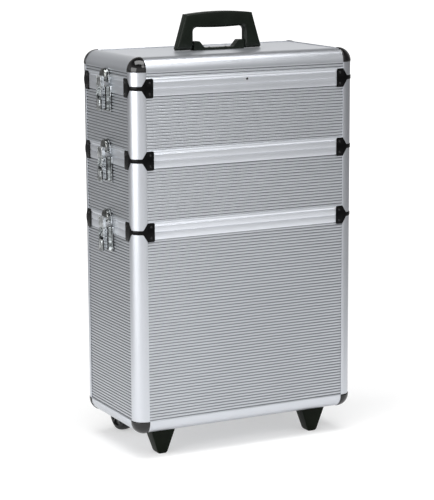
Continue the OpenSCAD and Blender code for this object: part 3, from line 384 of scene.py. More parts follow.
def smooth_sheet(z, x0, x1, y0, y1):
    """A flat rectangle of smooth sheet whose underside lies at z."""
    return carried(oblong(x0, y0, x1, y1), (0, 0, z), right, back, up, sheet_t)


sheet_x, sheet_y = half_w - slot_bottom, half_d - slot_bottom
cut_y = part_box("wheel_housings")[0].y + 5 * mm
for section, (low, high) in sections.items():
    bottom = low + (slot_bottom if section == "bottom" else upper_seat * mm)
    top = high - (slot_bottom if section == "lid" else lower_seat * mm)
    parts = []
    for number, wall in enumerate(walls):
        reach = wall[3] - slot_bottom
        if section == "bottom" and number == 1:
            parts += [ribbed_wall(wall, bottom, top, start, end) for start, end in beside_housings(reach)]
            for s in (-1, 1):
                start, end = sorted((s * housing_outer, s * housing_inner))
                parts.append(ribbed_wall(wall, bottom, top, start, end, foot=housing_high.z))
        else:
            parts.append(ribbed_wall(wall, bottom, top, -reach, reach))
    if section == "bottom":
        parts.append(smooth_sheet(base_z + lip, -sheet_x, sheet_x, mid_y - sheet_y, cut_y))
        parts += [smooth_sheet(base_z + lip, start, end, cut_y, mid_y + sheet_y)
                  for start, end in beside_housings(sheet_x)]
    panels = piece(f"{section}_panels", parts, ribbed, section, f"{section}_sheets",
                   crease=55)
    mark_depth(panels.data)
# The lid's top sheet has a lighter tone than the ribbed walls: painted light for the brighter light that
# falls on the top.
smooth = drawn_aluminium("smooth_sheet", (0.64, 0.661, 0.701), 0.05, 0.4, 700, 0.03 * mm)
lid_top = smooth_sheet(top_z - lip - sheet_t, -sheet_x, sheet_x, mid_y - sheet_y, mid_y + sheet_y)
piece("lid_top_panel", [lid_top], smooth, "lid", "lid_sheets")

# Behind the sheets the walls are fibre board lined with black woven cloth. The boards are
# plain cut sheets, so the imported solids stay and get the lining's weave.


def result(add, operation, *values):
    """What an arithmetic operation gives on its values, which are numbers or outputs."""
    return add("Math", operation=operation, **{f"i{n}": value for n, value in enumerate(values)}).outputs[0]


def woven_lining():
    """Black cloth: two crossed fine waves lift the threads, and noise fades the dye a little."""
    dull = 0.9
    material, shader, add, place = finish_of("black_lining", dull)
    warp = add("TexWave", Vector=place["Object"], Scale=260.0, Distortion=0.6)
    weft = add("TexWave", Vector=place["Object"], Scale=260.0, Distortion=0.6, bands_direction="Z")
    weave = result(add, "MULTIPLY", warp.outputs["Fac"], weft.outputs["Fac"])
    fade = noise(add, place["Object"], 30.0, 4.0)
    shade = blend(add, fade, (0.012, 0.012, 0.013), (0.03, 0.03, 0.032))
    coat(add, shader, shade, dull, weave, 0.5, 0.2 * mm)
    add(shader, Sheen_Weight=0.15)
    return material


def dress(mesh, finish):
    """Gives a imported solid's mesh its finish."""
    mesh.materials.clear()
    mesh.materials.append(finish)


lining = woven_lining()
for section in sections:
    dress(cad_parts[f"{section}_boards"].data, lining)

# Moulded black ball corners cap the eight outer corners and cover the ends of three
# extrusions each. They stand 0.8 mm proud and are glossy, with a soft mould texture.
proud = 0.8 * mm
ball_wall = 2 * mm


def moulded(name, colour, roughness, grain, relief, level=0.25):
    """Injection-moulded plastic: a fine grain in height, and slow clouds in tone and roughness."""
    material, shader, add, place = finish_of(name, roughness)
    fine = noise(add, place["Object"], grain, 3.0)
    slow = noise(add, place["Object"], 35.0, 4.0)
    shade = blend(add, slow, [c * 0.7 for c in colour], [c * 1.5 for c in colour])
    gloss = ramp(add, slow, 0, 1, roughness - 0.07, roughness + 0.07)
    coat(add, shader, shade, gloss, fine, 0.3, relief)
    add(shader, Specular_IOR_Level=level)
    return material


def grid_quads(rows, cols):
    """The faces of a grid of points, row by row."""
    i = (np.arange(rows - 1)[:, None] * cols + np.arange(cols - 1)).ravel()
    return np.c_[i, i + 1, i + cols + 1, i + cols]


def ball_shell(sx, sy, z, rise):
    """A cube's corner rounded to radius r: a point q of its three outer faces moves to
    c + r (q - c) / |q - c|, where c is q kept at least r from the outer faces."""
    r = corner_r + proud
    size = leg + proud
    t = np.r_[r * (1 - np.tan(np.linspace(math.pi / 4, 0, 15))), size]
    a, b = np.meshgrid(t, t, indexing="ij")
    o = np.zeros_like(a)
    q = np.stack([np.stack([a, b, o], -1), np.stack([o, a, b], -1), np.stack([b, o, a], -1)])
    c = np.maximum(q, r)
    shell = c + r * (q - c) / np.linalg.norm(q - c, axis=-1, keepdims=True) - proud
    points = (corner_at(sx, sy, z) + shell * np.array([-sx, -sy, rise])).reshape(-1, 3)
    quads = np.vstack([grid_quads(len(t), len(t)) + face * a.size for face in range(3)])
    if sx * sy * rise < 0:
        quads = quads[:, ::-1]
    return points, quads.tolist(), np.tile(np.c_[a.ravel(), b.ravel()], (3, 1))


corner_black = moulded("corner_black", (0.002, 0.002, 0.0022), 0.1, 900, 0.02 * mm, 0.5)
for section, z, rise in (("bottom", base_z, 1), ("lid", top_z, -1)):
    balls = piece(f"{section}_ball_caps", [ball_shell(sx, sy, z, rise) for sx, sy in corners], corner_black,
                  section, f"{section}_ball_corners", crease=60)
    weld = balls.modifiers.new("joined_faces", "WELD")
    weld.merge_threshold = 0.01 * mm
    wall = balls.modifiers.new("shell", "SOLIDIFY")
    wall.thickness = ball_wall
    wall.offset = -1

# Pressed seam brackets, painted black, wrap every post at every seam: one half on the
# section above and one below. A narrow neck crosses the post between two riveted plates.
neck_h = 3.6 * mm
plate_h = 16.4 * mm
plate_end = 36.8 * mm
slope_start = 16 * mm
tip_r = 2.5 * mm
pressed_t = 1 * mm


def plate_height(x):
    """Height of the bracket at distance x from the corner: the neck, a straight slope up to the
    plate, and the plate's corner h - r + sqrt(r^2 - (x - end + r)^2)."""
    slope = np.clip((x - slope_start) / (leg - slope_start), 0, 1)
    height = neck_h + (plate_h - neck_h) * slope
    over = np.clip(x - plate_end + tip_r, 0, tip_r)
    return height - tip_r + np.sqrt(np.maximum(tip_r**2 - over**2, 0))


def seam_bracket(sx, sy, seam, rise):
    """A thin outline with an eased edge carried round the corner: straight, a quarter circle of
    the post's radius, and straight again. Its height follows plate_height on both faces."""
    tip = plate_end - tip_r * (1 - np.sin(np.linspace(math.pi / 2, 0, 7)))
    flat = np.r_[tip, np.linspace(leg, corner_r, 3)]
    turn = np.linspace(0, math.pi / 2, 25)[1:-1]
    still = np.zeros(len(flat))
    x = np.r_[flat, corner_r * (1 - np.sin(turn)), still]
    y = np.r_[still, corner_r * (1 - np.cos(turn)), flat[::-1]]
    angle = np.r_[still, turn, np.full(len(flat), math.pi / 2)]
    outward = np.c_[-np.sin(angle), -np.cos(angle)]
    height = np.maximum(plate_height(x), plate_height(y))
    depth = np.array([0, 1, 1, 0.8, 0.45, 0]) * pressed_t
    drop = np.array([1, 1, 0.5, 0.15, 0, 0]) * mm
    stands = np.array([0, 0, 1, 1, 1, 1])
    count = len(depth)
    ring = np.zeros((len(x), count, 3))
    ring[..., :2] = np.c_[x, y][:, None] + outward[:, None] * depth[None, :, None]
    ring[..., 2] = stands * (height[:, None] - drop)
    points = (corner_at(sx, sy, seam) + ring * np.array([-sx, -sy, rise])).reshape(-1, 3)
    faces = ring_faces(len(x), count, turned_over=True)
    if sx * sy * rise < 0:
        faces = [f[::-1] for f in faces]
    return points, faces, np.c_[np.repeat(np.arange(len(x)), count), np.tile(np.arange(count), len(x))] * mm


bracket_black = moulded("bracket_black", (0.002, 0.002, 0.0022), 0.2, 500, 0.03 * mm, 0.1)
for section, (low, high) in sections.items():
    places = ([] if section == "bottom" else [(low, 1)]) + ([] if section == "lid" else [(high, -1)])
    parts = [seam_bracket(sx, sy, seam, rise) for seam, rise in places for sx, sy in corners]
    piece(f"{section}_corner_brackets", parts, bracket_black, section,
          f"{section}_seam_brackets", crease=30)

# Domed rivets hold the brackets, the latches and the carry handle's base. Each head is a
# low dome on a short shank, black like the brackets.
head_r = 2.1 * mm
head_h = 0.9 * mm
shank_r = 1.2 * mm
shank_len = 5 * mm
latch_t = 1.2 * mm
base_h = 44 * mm
base_half = 20 * mm
base_top = -2 * mm
keeper_h = 28 * mm
keeper_half = 14 * mm


def turned(profile, origin, axis, sides=24, hollow=False):
    """A profile of (radius, height) turned about an axis: point (r, h) at angle a lies at
    origin + r cos(a) e1 + r sin(a) e2 + h axis. UV is the angle and the way along the profile.
    A profile that closes on itself makes a hollow ring, which has no end caps."""
    p = np.asarray(profile, float)
    axis = np.asarray(axis, float)
    e1 = np.cross(axis, [0.3, 0.5, 0.8])
    e1 /= np.linalg.norm(e1)
    e2 = np.cross(axis, e1)
    a = np.arange(sides) * 2 * math.pi / sides
    ring = np.cos(a)[:, None] * e1 + np.sin(a)[:, None] * e2
    points = (origin + p[:, None, :1] * ring + p[:, None, 1:] * axis).reshape(-1, 3)
    *faces, start, end = ring_faces(len(p), sides)
    if not hollow:
        faces += [cap for cap, r in ((start, p[0, 0]), (end, p[-1, 0])) if r > 1e-9]
    return points, faces, np.c_[np.tile(a, len(p)), np.repeat(np.arange(len(p)), sides)] * mm


def rivet(point, outward, stand):
    """A shank and a dome: r = head_r cos(t), h = head_h sin(t)."""
    t = np.linspace(0, math.pi / 2 - 0.02, 6)
    dome = np.c_[head_r * np.cos(t), stand + head_h * np.sin(t)]
    shank = [(shank_r, -shank_len), (shank_r, stand), (head_r, stand)]
    return turned(np.vstack([shank, dome, [(1e-10, stand + head_h)]]), point, outward, sides=16)


def wall_rivets(spots, seam, wall, stand):
    """Rivets at (distance along the wall, height over the seam) on both sides of a wall's middle."""
    middle, inward, along, reach = wall
    return [rivet(middle + along * s * x + up * (seam + z), -inward, stand)
            for x, z in spots for s in (-1, 1)]


bracket_rivet = (plate_end + leg) / 2
bracket_rivet_z = 9.5 * mm
edge_gap = head_r + 1.5 * mm
base_rivets = [(base_half - head_r - 0.4 * mm, base_top - z) for z in (edge_gap, base_h - edge_gap)]
keeper_rivets = [(10.5 * mm, 8.5 * mm)]
rim_rivet_z = 7.6 * mm
handle_rivet_x = 16 * mm
handle_rivet_z = 4.5 * mm
rivet_black = moulded("rivet_black", (0.006, 0.006, 0.0065), 0.18, 700, 0.02 * mm, 0.35)
for section, (low, high) in sections.items():
    parts = []
    for wall in walls:
        spot = wall[3] - bracket_rivet
        side = wall[3] == half_d
        if section != "bottom":
            parts += wall_rivets([(spot, bracket_rivet_z)], low, wall, pressed_t)
            parts += wall_rivets(keeper_rivets, low, wall, latch_t) if side else []
        if section != "lid":
            parts += wall_rivets([(spot, -bracket_rivet_z)], high, wall, pressed_t)
            parts += wall_rivets(base_rivets, high, wall, latch_t) if side else []
    if section == "lid":
        parts.append(rivet(np.array([0, front_y, low + rim_rivet_z]), -back, 0))
        for x in (-handle_rivet_x, handle_rivet_x):
            parts.append(rivet(np.array([x, mid_y, top_z - lip]), up, handle_rivet_z))
    piece(f"{section}_rivet_heads", parts, rivet_black, section, f"{section}_rivets")

# Draw latches of bright plated steel close the seams on both sides. The lower section has a
# base plate with a raised channel and two cheeks, and the upper one a keeper under a hood. On
# a latch u runs along the wall from its middle, v up from the seam and w out from the wall.
axis_w = 9 * mm
axis_v = -8 * mm
eye_r = 4 * mm
channel_w = 4.6 * mm
cheek_u = 7.1 * mm
lever_u = 9.8 * mm
hood_w = 7.5 * mm
hood_r = 13 * mm
hood_t = 1.1 * mm
sunk = 0.1 * mm


def arc(centre_x, centre_y, r, start, end, steps=12):
    """Points on a circle from one angle to another, in degrees."""
    a = np.radians(np.linspace(start, end, steps))
    return list(zip(centre_x + r * np.cos(a), centre_y + r * np.sin(a)))


def flat_plate(outline, seam, side, w0, w1):
    """An outline drawn along and up the wall, carried outwards from w0 to w1."""
    origin = np.array([side * (half_w + w0), mid_y, seam])
    return carried(outline, origin, back, up, side * right, w1 - w0)


def side_plate(outline, seam, side, u0, u1):
    """An outline drawn outwards and up, carried along the wall from u0 to u1."""
    origin = np.array([side * half_w, mid_y + u0, seam])
    return carried(outline, origin, side * right, up, back, u1 - u0)


def plate_pair(outline, seam, side, u0, u1):
    """The same side plate on both sides of the latch's middle, from u0 to u1 away from it."""
    return [side_plate(outline, seam, side, *sorted((s * u0, s * u1))) for s in (-1, 1)]


def latch_base(seam, side):
    """Base plate, the channel pressed out of it and two cheeks with eyes."""
    low = base_top - base_h
    inset = 2 * mm
    plate = eased(oblong(-base_half, low, base_half, base_top), 3 * mm)
    channel = eased(oblong(-lever_u, low + inset, lever_u, base_top - inset), 2 * mm)
    cheek = [(channel_w - sunk, axis_v - 7 * mm), (axis_w, axis_v - eye_r),
             *arc(axis_w, axis_v, eye_r, -80, 90), (channel_w - sunk, axis_v + eye_r)]
    return [flat_plate(plate, seam, side, 0, latch_t),
            flat_plate(channel, seam, side, latch_t - sunk, channel_w),
            *plate_pair(cheek, seam, side, cheek_u, cheek_u + latch_t)]


def hood(seam, side, centre_v):
    """Half a dome over the hook's lip: the profile (r, w) turned half round the outward axis, so
    that point (r, w) at angle a lies at u = r cos(a), v = centre + r sin(a)."""
    t = np.linspace(0, math.pi / 2, 7)
    bend = 2.6 * mm
    axis_r = 0.02 * mm
    outer, inner = [np.c_[hood_r - bend + r * np.cos(t), hood_w - bend + r * np.sin(t)]
                    for r in (bend, bend - hood_t)]
    profile = np.vstack([[(hood_r, latch_t - sunk)], outer, [(axis_r, hood_w), (axis_r, hood_w - hood_t)],
                         inner[::-1], [(hood_r - hood_t, latch_t - sunk)]])
    a = np.linspace(0, math.pi, 37)
    r, w = profile.T
    x = side * (half_w + np.broadcast_to(w, (len(a), len(w))))
    y = mid_y + r * np.cos(a)[:, None]
    points = np.stack([x, y, seam + centre_v + r * np.sin(a)[:, None]], -1).reshape(-1, 3)
    faces = ring_faces(len(a), len(profile))
    if side < 0:
        faces = [f[::-1] for f in faces]
    return points, faces, np.c_[np.tile(way_along(profile), len(a)), np.repeat(a * hood_r, len(profile))]


def keeper(seam, side):
    """Round-topped plate and the lip under its hood that the hook's head hangs over."""
    foot_v = 3 * mm
    dome = arc(0, keeper_h - keeper_half, keeper_half, 0, 180, 25)
    plate = np.vstack([[(-keeper_half, foot_v), (keeper_half, foot_v)], dome])
    ridge = eased([(1.1 * mm, 3.5 * mm), (7.6 * mm, 6.5 * mm), (7.6 * mm, 8.1 * mm), (1.1 * mm, 8.1 * mm)],
                  [0, 0.6 * mm, 0.5 * mm, 0])
    ridge_half = 5.8 * mm
    return [flat_plate(plate, seam, side, 0, latch_t), side_plate(ridge, seam, side, -ridge_half, ridge_half)]


def plated_steel(name, dark, light, shade=0.0):
    """Bright nickel plating: smudges in its tone and roughness, slight dents in its height. The share of
    shade sets a painted shade that darkens the gap between the base's channel and the lever."""
    material, shader, add, place = finish_of(name, 0.1, 1.0)
    smudge = noise(add, place["Object"], 150.0, 3.0, Roughness=0.6)
    tone = blend(add, ramp(add, smudge, 0.33, 0.67, 0, 1), dark, light)
    gloss = ramp(add, smudge, 0.3, 0.75, 0.04, 0.2)
    dents = noise(add, place["Object"], 130.0, 1.0)
    # Painted shade: a band just outside the channel's top, where the lever meets the base, is blended towards
    # near black, as if in shadow.
    outward = result(add, "ABSOLUTE", add("SeparateXYZ", Vector=place["Object"]).outputs["X"])
    channel = half_w + channel_w
    above = ramp(add, outward, channel - 0.8 * mm, channel - 0.2 * mm, 0, shade)
    below = ramp(add, outward, channel + 1.6 * mm, channel + 2.4 * mm, 1, 0)
    painted_gap_shade_tone = blend(add, result(add, "MULTIPLY", above, below), tone, (0.012, 0.012, 0.012))
    coat(add, shader, painted_gap_shade_tone, gloss, dents, 0.5, 0.3 * mm)
    return material


plating = plated_steel("bright_plating", (0.26, 0.275, 0.28), (0.9, 0.93, 0.94), 0.95)
# The keeper hoods get a much darker plating tone: a painted reflection, standing in for the dark things that
# their chrome domes mirror.
dark_hood_finish = plated_steel("dark_hood_plating", (0.03, 0.032, 0.032), (0.34, 0.35, 0.34))
hands = ((-1, "left"), (1, "right"))
for section, (low, high) in sections.items():
    parts = []
    hoods = []
    for side, word in hands:
        parts += keeper(low, side) if section != "bottom" else []
        hoods += [hood(low, side, keeper_h - keeper_half)] if section != "bottom" else []
        parts += latch_base(high, side) if section != "lid" else []
    node = "lid_latch_keepers" if section == "lid" else f"{section}_latch_plates"
    piece(f"{section}_latch_fixings", parts, plating, section, node, ease=0.3 * mm)
    if hoods:
        piece(f"{section}_keeper_hoods", hoods, dark_hood_finish, section, node, crease=40)

# The lever swings out on its stubs. Its cover carries a round lock face with a keyway and
# flares into a finger tip. The hook hangs on the lever's pin and ends in a box-shaped head.
lever_len = 37 * mm
cover_w = 13 * mm
wall_u = lever_u - latch_t
lock_r = 5.5 * mm
lock_v = axis_v - lever_len + 13 * mm
lock_w = cover_w + latch_t + 1 * mm
pin_v = axis_v - 11 * mm
stub_r = 1.6 * mm
pin_r = 1.5 * mm
hook_w = 8.2 * mm
hook_top = 11.5 * mm
hook_r = 3 * mm
head_foot = -3.5 * mm


def lock_face(seam, side):
    """A disc on a square grid (x, y) = (u sqrt(1 - v^2/2), v sqrt(1 - u^2/2)), sunk along a
    ring and in the keyway, on a short barrel."""
    u = np.array([-1, -0.93, -0.84, -0.8, -0.74, -0.7, -0.55, -0.4, -0.25, -0.12, -0.09, -0.05])
    v = np.array([-1, -0.93, -0.84, -0.8, -0.74, -0.7, -0.52, -0.49, -0.3, -0.1])
    u, v = np.meshgrid(np.r_[u, -u[::-1]], np.r_[v, -v[::-1]], indexing="ij")
    x, y = u * np.sqrt(1 - v * v / 2), v * np.sqrt(1 - u * u / 2)
    r = np.hypot(x, y)
    ring = np.clip(1 - np.abs(r - 0.77) / 0.06, 0, 1)
    edge = np.clip((r - 0.9) / 0.1, 0, 1) ** 2
    key = (np.abs(u) < 0.1) & (np.abs(v) < 0.5)
    ring_drop, edge_drop, key_drop = 0.3 * mm, 0.35 * mm, 1.6 * mm
    w = lock_w - ring_drop * ring - edge_drop * edge - key_drop * key
    disc = [side * (half_w + w), mid_y + x * lock_r, seam + lock_v + y * lock_r]
    points = np.stack(disc, -1).reshape(-1, 3)
    quads = grid_quads(*u.shape)[:, [0, 3, 2, 1]]
    face = points, (quads if side > 0 else quads[:, ::-1]).tolist(), np.c_[u.ravel(), v.ravel()] * mm
    barrel_w = 5.6 * mm
    origin = np.array([side * (half_w + barrel_w), mid_y, seam + lock_v])
    barrel = [(lock_r, 0), (lock_r, lock_w - edge_drop - barrel_w)]
    points, faces, uv = turned(barrel, origin, side * right, sides=48)
    return [face, (points, faces[:-1], uv)]


def lever(seam, side):
    """Two side walls, the cover between them, the stub pins and the hook's pin."""
    end_v = axis_v - lever_len
    cover_out = cover_w + latch_t
    inner_w = 6 * mm
    wall = [*arc(axis_w, axis_v, eye_r, 0, 180), (inner_w, axis_v - 3 * mm), (inner_w, end_v + 6 * mm),
            (inner_w + 1.2 * mm, end_v + 4.6 * mm), (cover_w, end_v + 1 * mm), (cover_out, end_v + 1 * mm),
            (cover_out, axis_v - 3 * mm)]
    flare = 1.5 * mm
    cover_v = axis_v - 17 * mm
    cover = eased([(cover_w, cover_v), (cover_out, cover_v), (cover_out, end_v + 3.5 * mm),
                   (cover_out + flare, end_v), (cover_w + flare, end_v - 0.6 * mm),
                   (cover_w, end_v + 2.5 * mm)],
                  [0.3 * mm, 0.5 * mm, 3 * mm, 0.5 * mm, 0.3 * mm, 3 * mm])
    parts = plate_pair(wall, seam, side, wall_u, lever_u)
    parts.append(side_plate(cover, seam, side, -lever_u, lever_u))
    soft = 0.2 * mm
    for v, r, start in ((axis_v, stub_r, cheek_u), (pin_v, pin_r, 0)):
        reach = lever_u - start
        for s in (-1, 1):
            origin = np.array([side * (half_w + axis_w), mid_y + s * start, seam + v])
            parts.append(turned([(r, 0), (r, reach - soft), (r - soft, reach)], origin, s * back, sides=20))
    return parts + lock_face(seam, side)


def hook(seam, side):
    """The hook's plate with its eye, and the head: a bent strip between two cheeks whose
    outline is the straight front and back joined by a half circle on top."""
    plate_half = 6.8 * mm
    back_w = hook_w + 1.6 * mm
    eye = [(hook_w, hook_top), *arc(axis_w, pin_v, hook_r, 165, 375, 20), (back_w, pin_v + 4 * mm),
           (back_w, hook_top)]
    mid_w = hook_w + hook_r
    front_w = mid_w + hook_r
    straight = head_foot + 6 * mm
    front = [(front_w - 0.5 * mm, head_foot), (front_w - 0.15 * mm, head_foot + 2.5 * mm),
             (front_w, straight), *arc(mid_w, hook_top, hook_r, 0, 180, 16)]
    cheek = [(hook_w, head_foot), *front]
    strip = [(hook_w, head_foot), (back_w, head_foot), (back_w, hook_top), (front_w - latch_t, hook_top),
             (front_w - latch_t, straight), (front_w - latch_t - 0.5 * mm, head_foot), *front]
    return [side_plate(eye, seam, side, -plate_half, plate_half),
            side_plate(strip, seam, side, -wall_u, wall_u),
            *plate_pair(cheek, seam, side, wall_u, lever_u)]


for name, seam in seams.items():
    for side, word in hands:
        piece(f"{name}_lever_plate_{word}", lever(seam, side), plating, f"{name}_lever_{word}",
              f"{name}_latch_lever_{word}", ease=0.3 * mm)
        piece(f"{name}_hook_strip_{word}", hook(seam, side), plating, f"{name}_hook_{word}",
              f"{name}_latch_hook_{word}", crease=40, ease=0.3 * mm)

# The carry handle is one black moulding with tapered legs and a crowned grip. It stands on
# two pins in the lugs of a low base that is riveted to the lid.
handle_low, handle_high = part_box("carry_handle")
foot_half = handle_high.x
head_half = 65 * mm
opening_half = 50.2 * mm
opening_r = 8 * mm
crown = 4 * mm
sag = 1.2 * mm
shoulder = handle_high.z - crown
under = shoulder - 23 * mm
grip_t = 18 * mm
pin_z = handle_low.z + grip_t / 2


def spaced(line, count):
    """Points at equal distances along a line."""
    line = np.asarray(line, float)
    way = way_along(line)
    at = np.linspace(0, way[-1], count)
    return np.c_[np.interp(at, way, line[:, 0]), np.interp(at, way, line[:, 1])]


def handle_shape():
    """A section carried up one leg, over the grip and down the other, from the inner line to the
    outer one: point (p, y) lies at inner + p * direction, and its outer half moves with the width."""
    x = np.linspace(-1, 1, 31)
    top = np.c_[x * head_half, shoulder + crown * (1 - x * x)]
    corner = np.array([(-opening_half, under - opening_r),
                       *arc(opening_r - opening_half, under - opening_r, opening_r, 180, 90, 9)])
    x = np.linspace(-1, 1, 25)
    belly = np.c_[x * (opening_half - opening_r), under - sag * (1 - x * x)]
    outer_leg = spaced([(-foot_half, handle_low.z), (-head_half, shoulder)], 18)
    inner_leg = spaced([(-opening_half, handle_low.z), *corner[:6]], 18)
    inner_top = spaced([*corner[5:], *belly[1:-1], *(corner[5:] * [-1, 1])[::-1]], 41)
    outer = np.vstack([outer_leg, spaced(top, 41)[1:-1], (outer_leg * [-1, 1])[::-1]])
    inner = np.vstack([inner_leg, inner_top[1:-1], (inner_leg * [-1, 1])[::-1]])
    drawn_w = 20 * mm
    chamfer = 4.4 * mm
    section = eased([(0, -4 * mm), (chamfer, -grip_t / 2), (drawn_w, -grip_t / 2), (drawn_w, grip_t / 2),
                     (chamfer, grip_t / 2), (0, 4 * mm)],
                    [1 * mm, 1.2 * mm, 4 * mm, 4 * mm, 1.2 * mm, 1 * mm])
    p, y = section.T
    width = np.linalg.norm(outer - inner, axis=1)[:, None]
    p = p + (p > drawn_w / 2) * (width - drawn_w)
    xz = inner[:, None] + ((outer - inner) / width)[:, None] * p[..., None]
    foot = np.sqrt(np.maximum((grip_t / 2) ** 2 - np.minimum(xz[..., 1] - pin_z, 0) ** 2, 0))
    points = np.stack([xz[..., 0], np.clip(y, -foot, foot) + mid_y, xz[..., 1]], -1).reshape(-1, 3)
    n, m = len(outer), len(section)
    uv = np.c_[np.tile(np.arange(m), n), np.repeat(np.arange(n), m)] * mm
    return points, ring_faces(n, m, turned_over=True), uv


handle_black = moulded("handle_black", (0.006, 0.0083, 0.006), 0.26, 1100, 0.04 * mm, 0.12)
piece("grip_handle", [handle_shape()], handle_black, "carry_handle", "carry_handle",
      crease=50)

lug_low, lug_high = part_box("handle_base")
plate_top = lug_low.z + 4.5 * mm
lug_out = lug_high.x
lug_in = lug_out - 11 * mm
lug_foot = lug_in - 10 * mm
base_outline = eased(
    [(-lug_out, lug_low.z), (lug_out, lug_low.z), (lug_out, lug_high.z), (lug_in, lug_high.z),
     (lug_foot, plate_top), (-lug_foot, plate_top), (-lug_in, lug_high.z), (-lug_out, lug_high.z)],
    [0, 0, 2 * mm, 4 * mm, 4 * mm, 4 * mm, 4 * mm, 2 * mm])
base = carried(base_outline, (0, lug_high.y, 0), right, up, -back, lug_high.y - lug_low.y)
piece("handle_foot_plate", [base], handle_black, "lid", "handle_base", ease=0.8 * mm)

# Two tapered feet carry the front of the case. Each is a hollow moulding in reality, drawn
# as a block whose rounded section narrows to a bevelled sole.
feet_low, feet_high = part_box("feet")
foot_w, foot_d = 47 * mm, 33 * mm
sole_w, sole_d = 17 * mm, 25 * mm
foot_bevel = 3 * mm
foot_x = feet_high.x - foot_w / 2
foot_y = (feet_low.y + feet_high.y) / 2


def foot_block(x):
    """A rounded rectangle whose width, depth and corner radius change from level to level."""
    levels = [(feet_high.z, foot_w, foot_d, 3.5), (feet_high.z - 3 * mm, foot_w, foot_d, 3.5),
              (foot_bevel, sole_w + 2 * mm, sole_d, 3),
              (foot_bevel * 0.8, sole_w + 1.4 * mm, sole_d - 0.4 * mm, 3),
              (0, sole_w - foot_bevel, sole_d - foot_bevel, 2.5)]
    rings = []
    for z, wide, deep, r in levels:
        w, d = wide / 2, deep / 2
        ring = eased([(w, d), (-w, d), (-w, -d), (w, -d)], r * mm, steps=5)
        rings.append(np.c_[ring[:, 0] + x, ring[:, 1] + foot_y, np.full(len(ring), z)])
    points = np.vstack(rings)
    return points, ring_faces(len(rings), len(rings[0]), turned_over=True), points[:, :2]


foot_black = moulded("foot_black", (0.006, 0.0085, 0.005), 0.36, 900, 0.06 * mm, 0.06)
piece("front_feet", [foot_block(-foot_x), foot_block(foot_x)], foot_black, "bottom", "feet",
      crease=28)

# The rear wheels are solid rubber tyres on plastic hubs with six spokes. They run on steel
# axles in black housings that are let into the case's back edge.
wheel_low, wheel_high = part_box("wheel_right")
wheel_r = (wheel_high.z - wheel_low.z) / 2
wheel_y = (wheel_high.y + wheel_low.y) / 2
wheel_half = (wheel_high.x - wheel_low.x) / 2 - 1 * mm
wheel_x = (wheel_high.x + wheel_low.x) / 2
rim = wheel_r - 8 * mm
tread_bend = 5 * mm
dish = 4 * mm
boss = 9 * mm
bore = 4.05 * mm
spoke_t = 2.6 * mm
spokes = 6


def far_side(near):
    """The points of a turned profile on the wheel's other side, in reverse order."""
    return [(r, -w) for r, w in near[::-1]]


def wheel_parts(side):
    """Tyre and hub are turned rings: the tread bends over to its sides as r = cos(t)^0.7 and
    w = sin(t), and the hub is dished. The spokes are short bars in the dish."""
    centre = np.array([side * wheel_x, wheel_y, wheel_r])
    t = np.radians(np.linspace(-90, 90, 17))
    tread = np.c_[wheel_r - tread_bend + tread_bend * np.cos(t) ** 0.7, (wheel_half - 1 * mm) * np.sin(t)]
    wall = [(rim, -wheel_half), (rim + 0.6 * mm, -wheel_half)]
    tyre = turned(np.vstack([wall, tread, far_side(wall), wall[:1]]), centre, right, sides=96, hollow=True)
    boss_end = -wheel_half - 1 * mm
    hub = [(bore, boss_end), (boss - 0.6 * mm, boss_end), (boss, boss_end + 0.6 * mm),
           (boss + 0.8 * mm, dish - wheel_half), (rim - 1.5 * mm, dish - wheel_half),
           (rim - 0.8 * mm, 0.8 * mm - wheel_half), (rim - 0.2 * mm, 0.1 * mm - wheel_half),
           (rim, 0.4 * mm - wheel_half)]
    parts = [turned([*hub, *far_side(hub), hub[0]], centre, right, sides=64, hollow=True)]
    bar = eased([(-1.6 * mm, 0), (1.6 * mm, 0), (1.2 * mm, spoke_t), (-1.2 * mm, spoke_t)], 0.3 * mm, steps=3)
    for number in range(spokes):
        a = number * 2 * math.pi / spokes
        out = np.array([0, math.cos(a), math.sin(a)])
        over = np.array([0, -math.sin(a), math.cos(a)])
        for face in (-1, 1):
            origin = centre + out * boss * 0.95 + face * (wheel_half - dish - 0.2 * mm) * right
            parts.append(carried(bar, origin, over, face * right, out, rim - boss - 0.3 * mm))
    return tyre, parts


rubber = moulded("tyre_rubber", (0.01, 0.01, 0.0105), 0.55, 600, 0.08 * mm, 0.3)
hub_black = moulded("hub_black", (0.009, 0.009, 0.0095), 0.3, 800, 0.04 * mm, 0.4)
for side, word in hands:
    tyre, hub = wheel_parts(side)
    piece(f"tyre_{word}", [tyre], rubber, f"wheel_{word}", f"wheel_{word}", crease=50)
    piece(f"hub_{word}", hub, hub_black, f"wheel_{word}", f"wheel_{word}", crease=30)


def eased_solid(name, node, finish, body, width):
    """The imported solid, its loose triangles merged and its flat faces joined, with softened edges."""
    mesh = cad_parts[node].data.copy()
    mesh.name = name
    made = in_scene(name, mesh)
    weld = made.modifiers.new("merged", "WELD")
    weld.merge_threshold = 0.002 * mm
    flat = made.modifiers.new("joined_flats", "DECIMATE")
    flat.decimate_type = "DISSOLVE"
    flat.angle_limit = math.radians(1)
    soften(made, width)
    dress(mesh, finish)
    mesh.polygons.foreach_set("use_smooth", np.ones(len(mesh.polygons), bool))
    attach(made, body)
    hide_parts(node)


eased_solid("wheel_cups", "wheel_housings", foot_black, "bottom", 0.4 * mm)

# Screws, axles and the handle's pins are zinc-plated steel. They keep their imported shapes
# and get a dull, finely mottled plating.


def zinc_plating():
    """Dull plated steel: fine noise in tone, roughness and height."""
    material, shader, add, place = finish_of("zinc_plating", 0.35, 1.0)
    fine = noise(add, place["Object"], 900.0, 4.0)
    tone = blend(add, fine, (0.42, 0.43, 0.44), (0.62, 0.63, 0.64))
    coat(add, shader, tone, ramp(add, fine, 0, 1, 0.26, 0.46), fine, 0.3, 0.03 * mm)
    return material


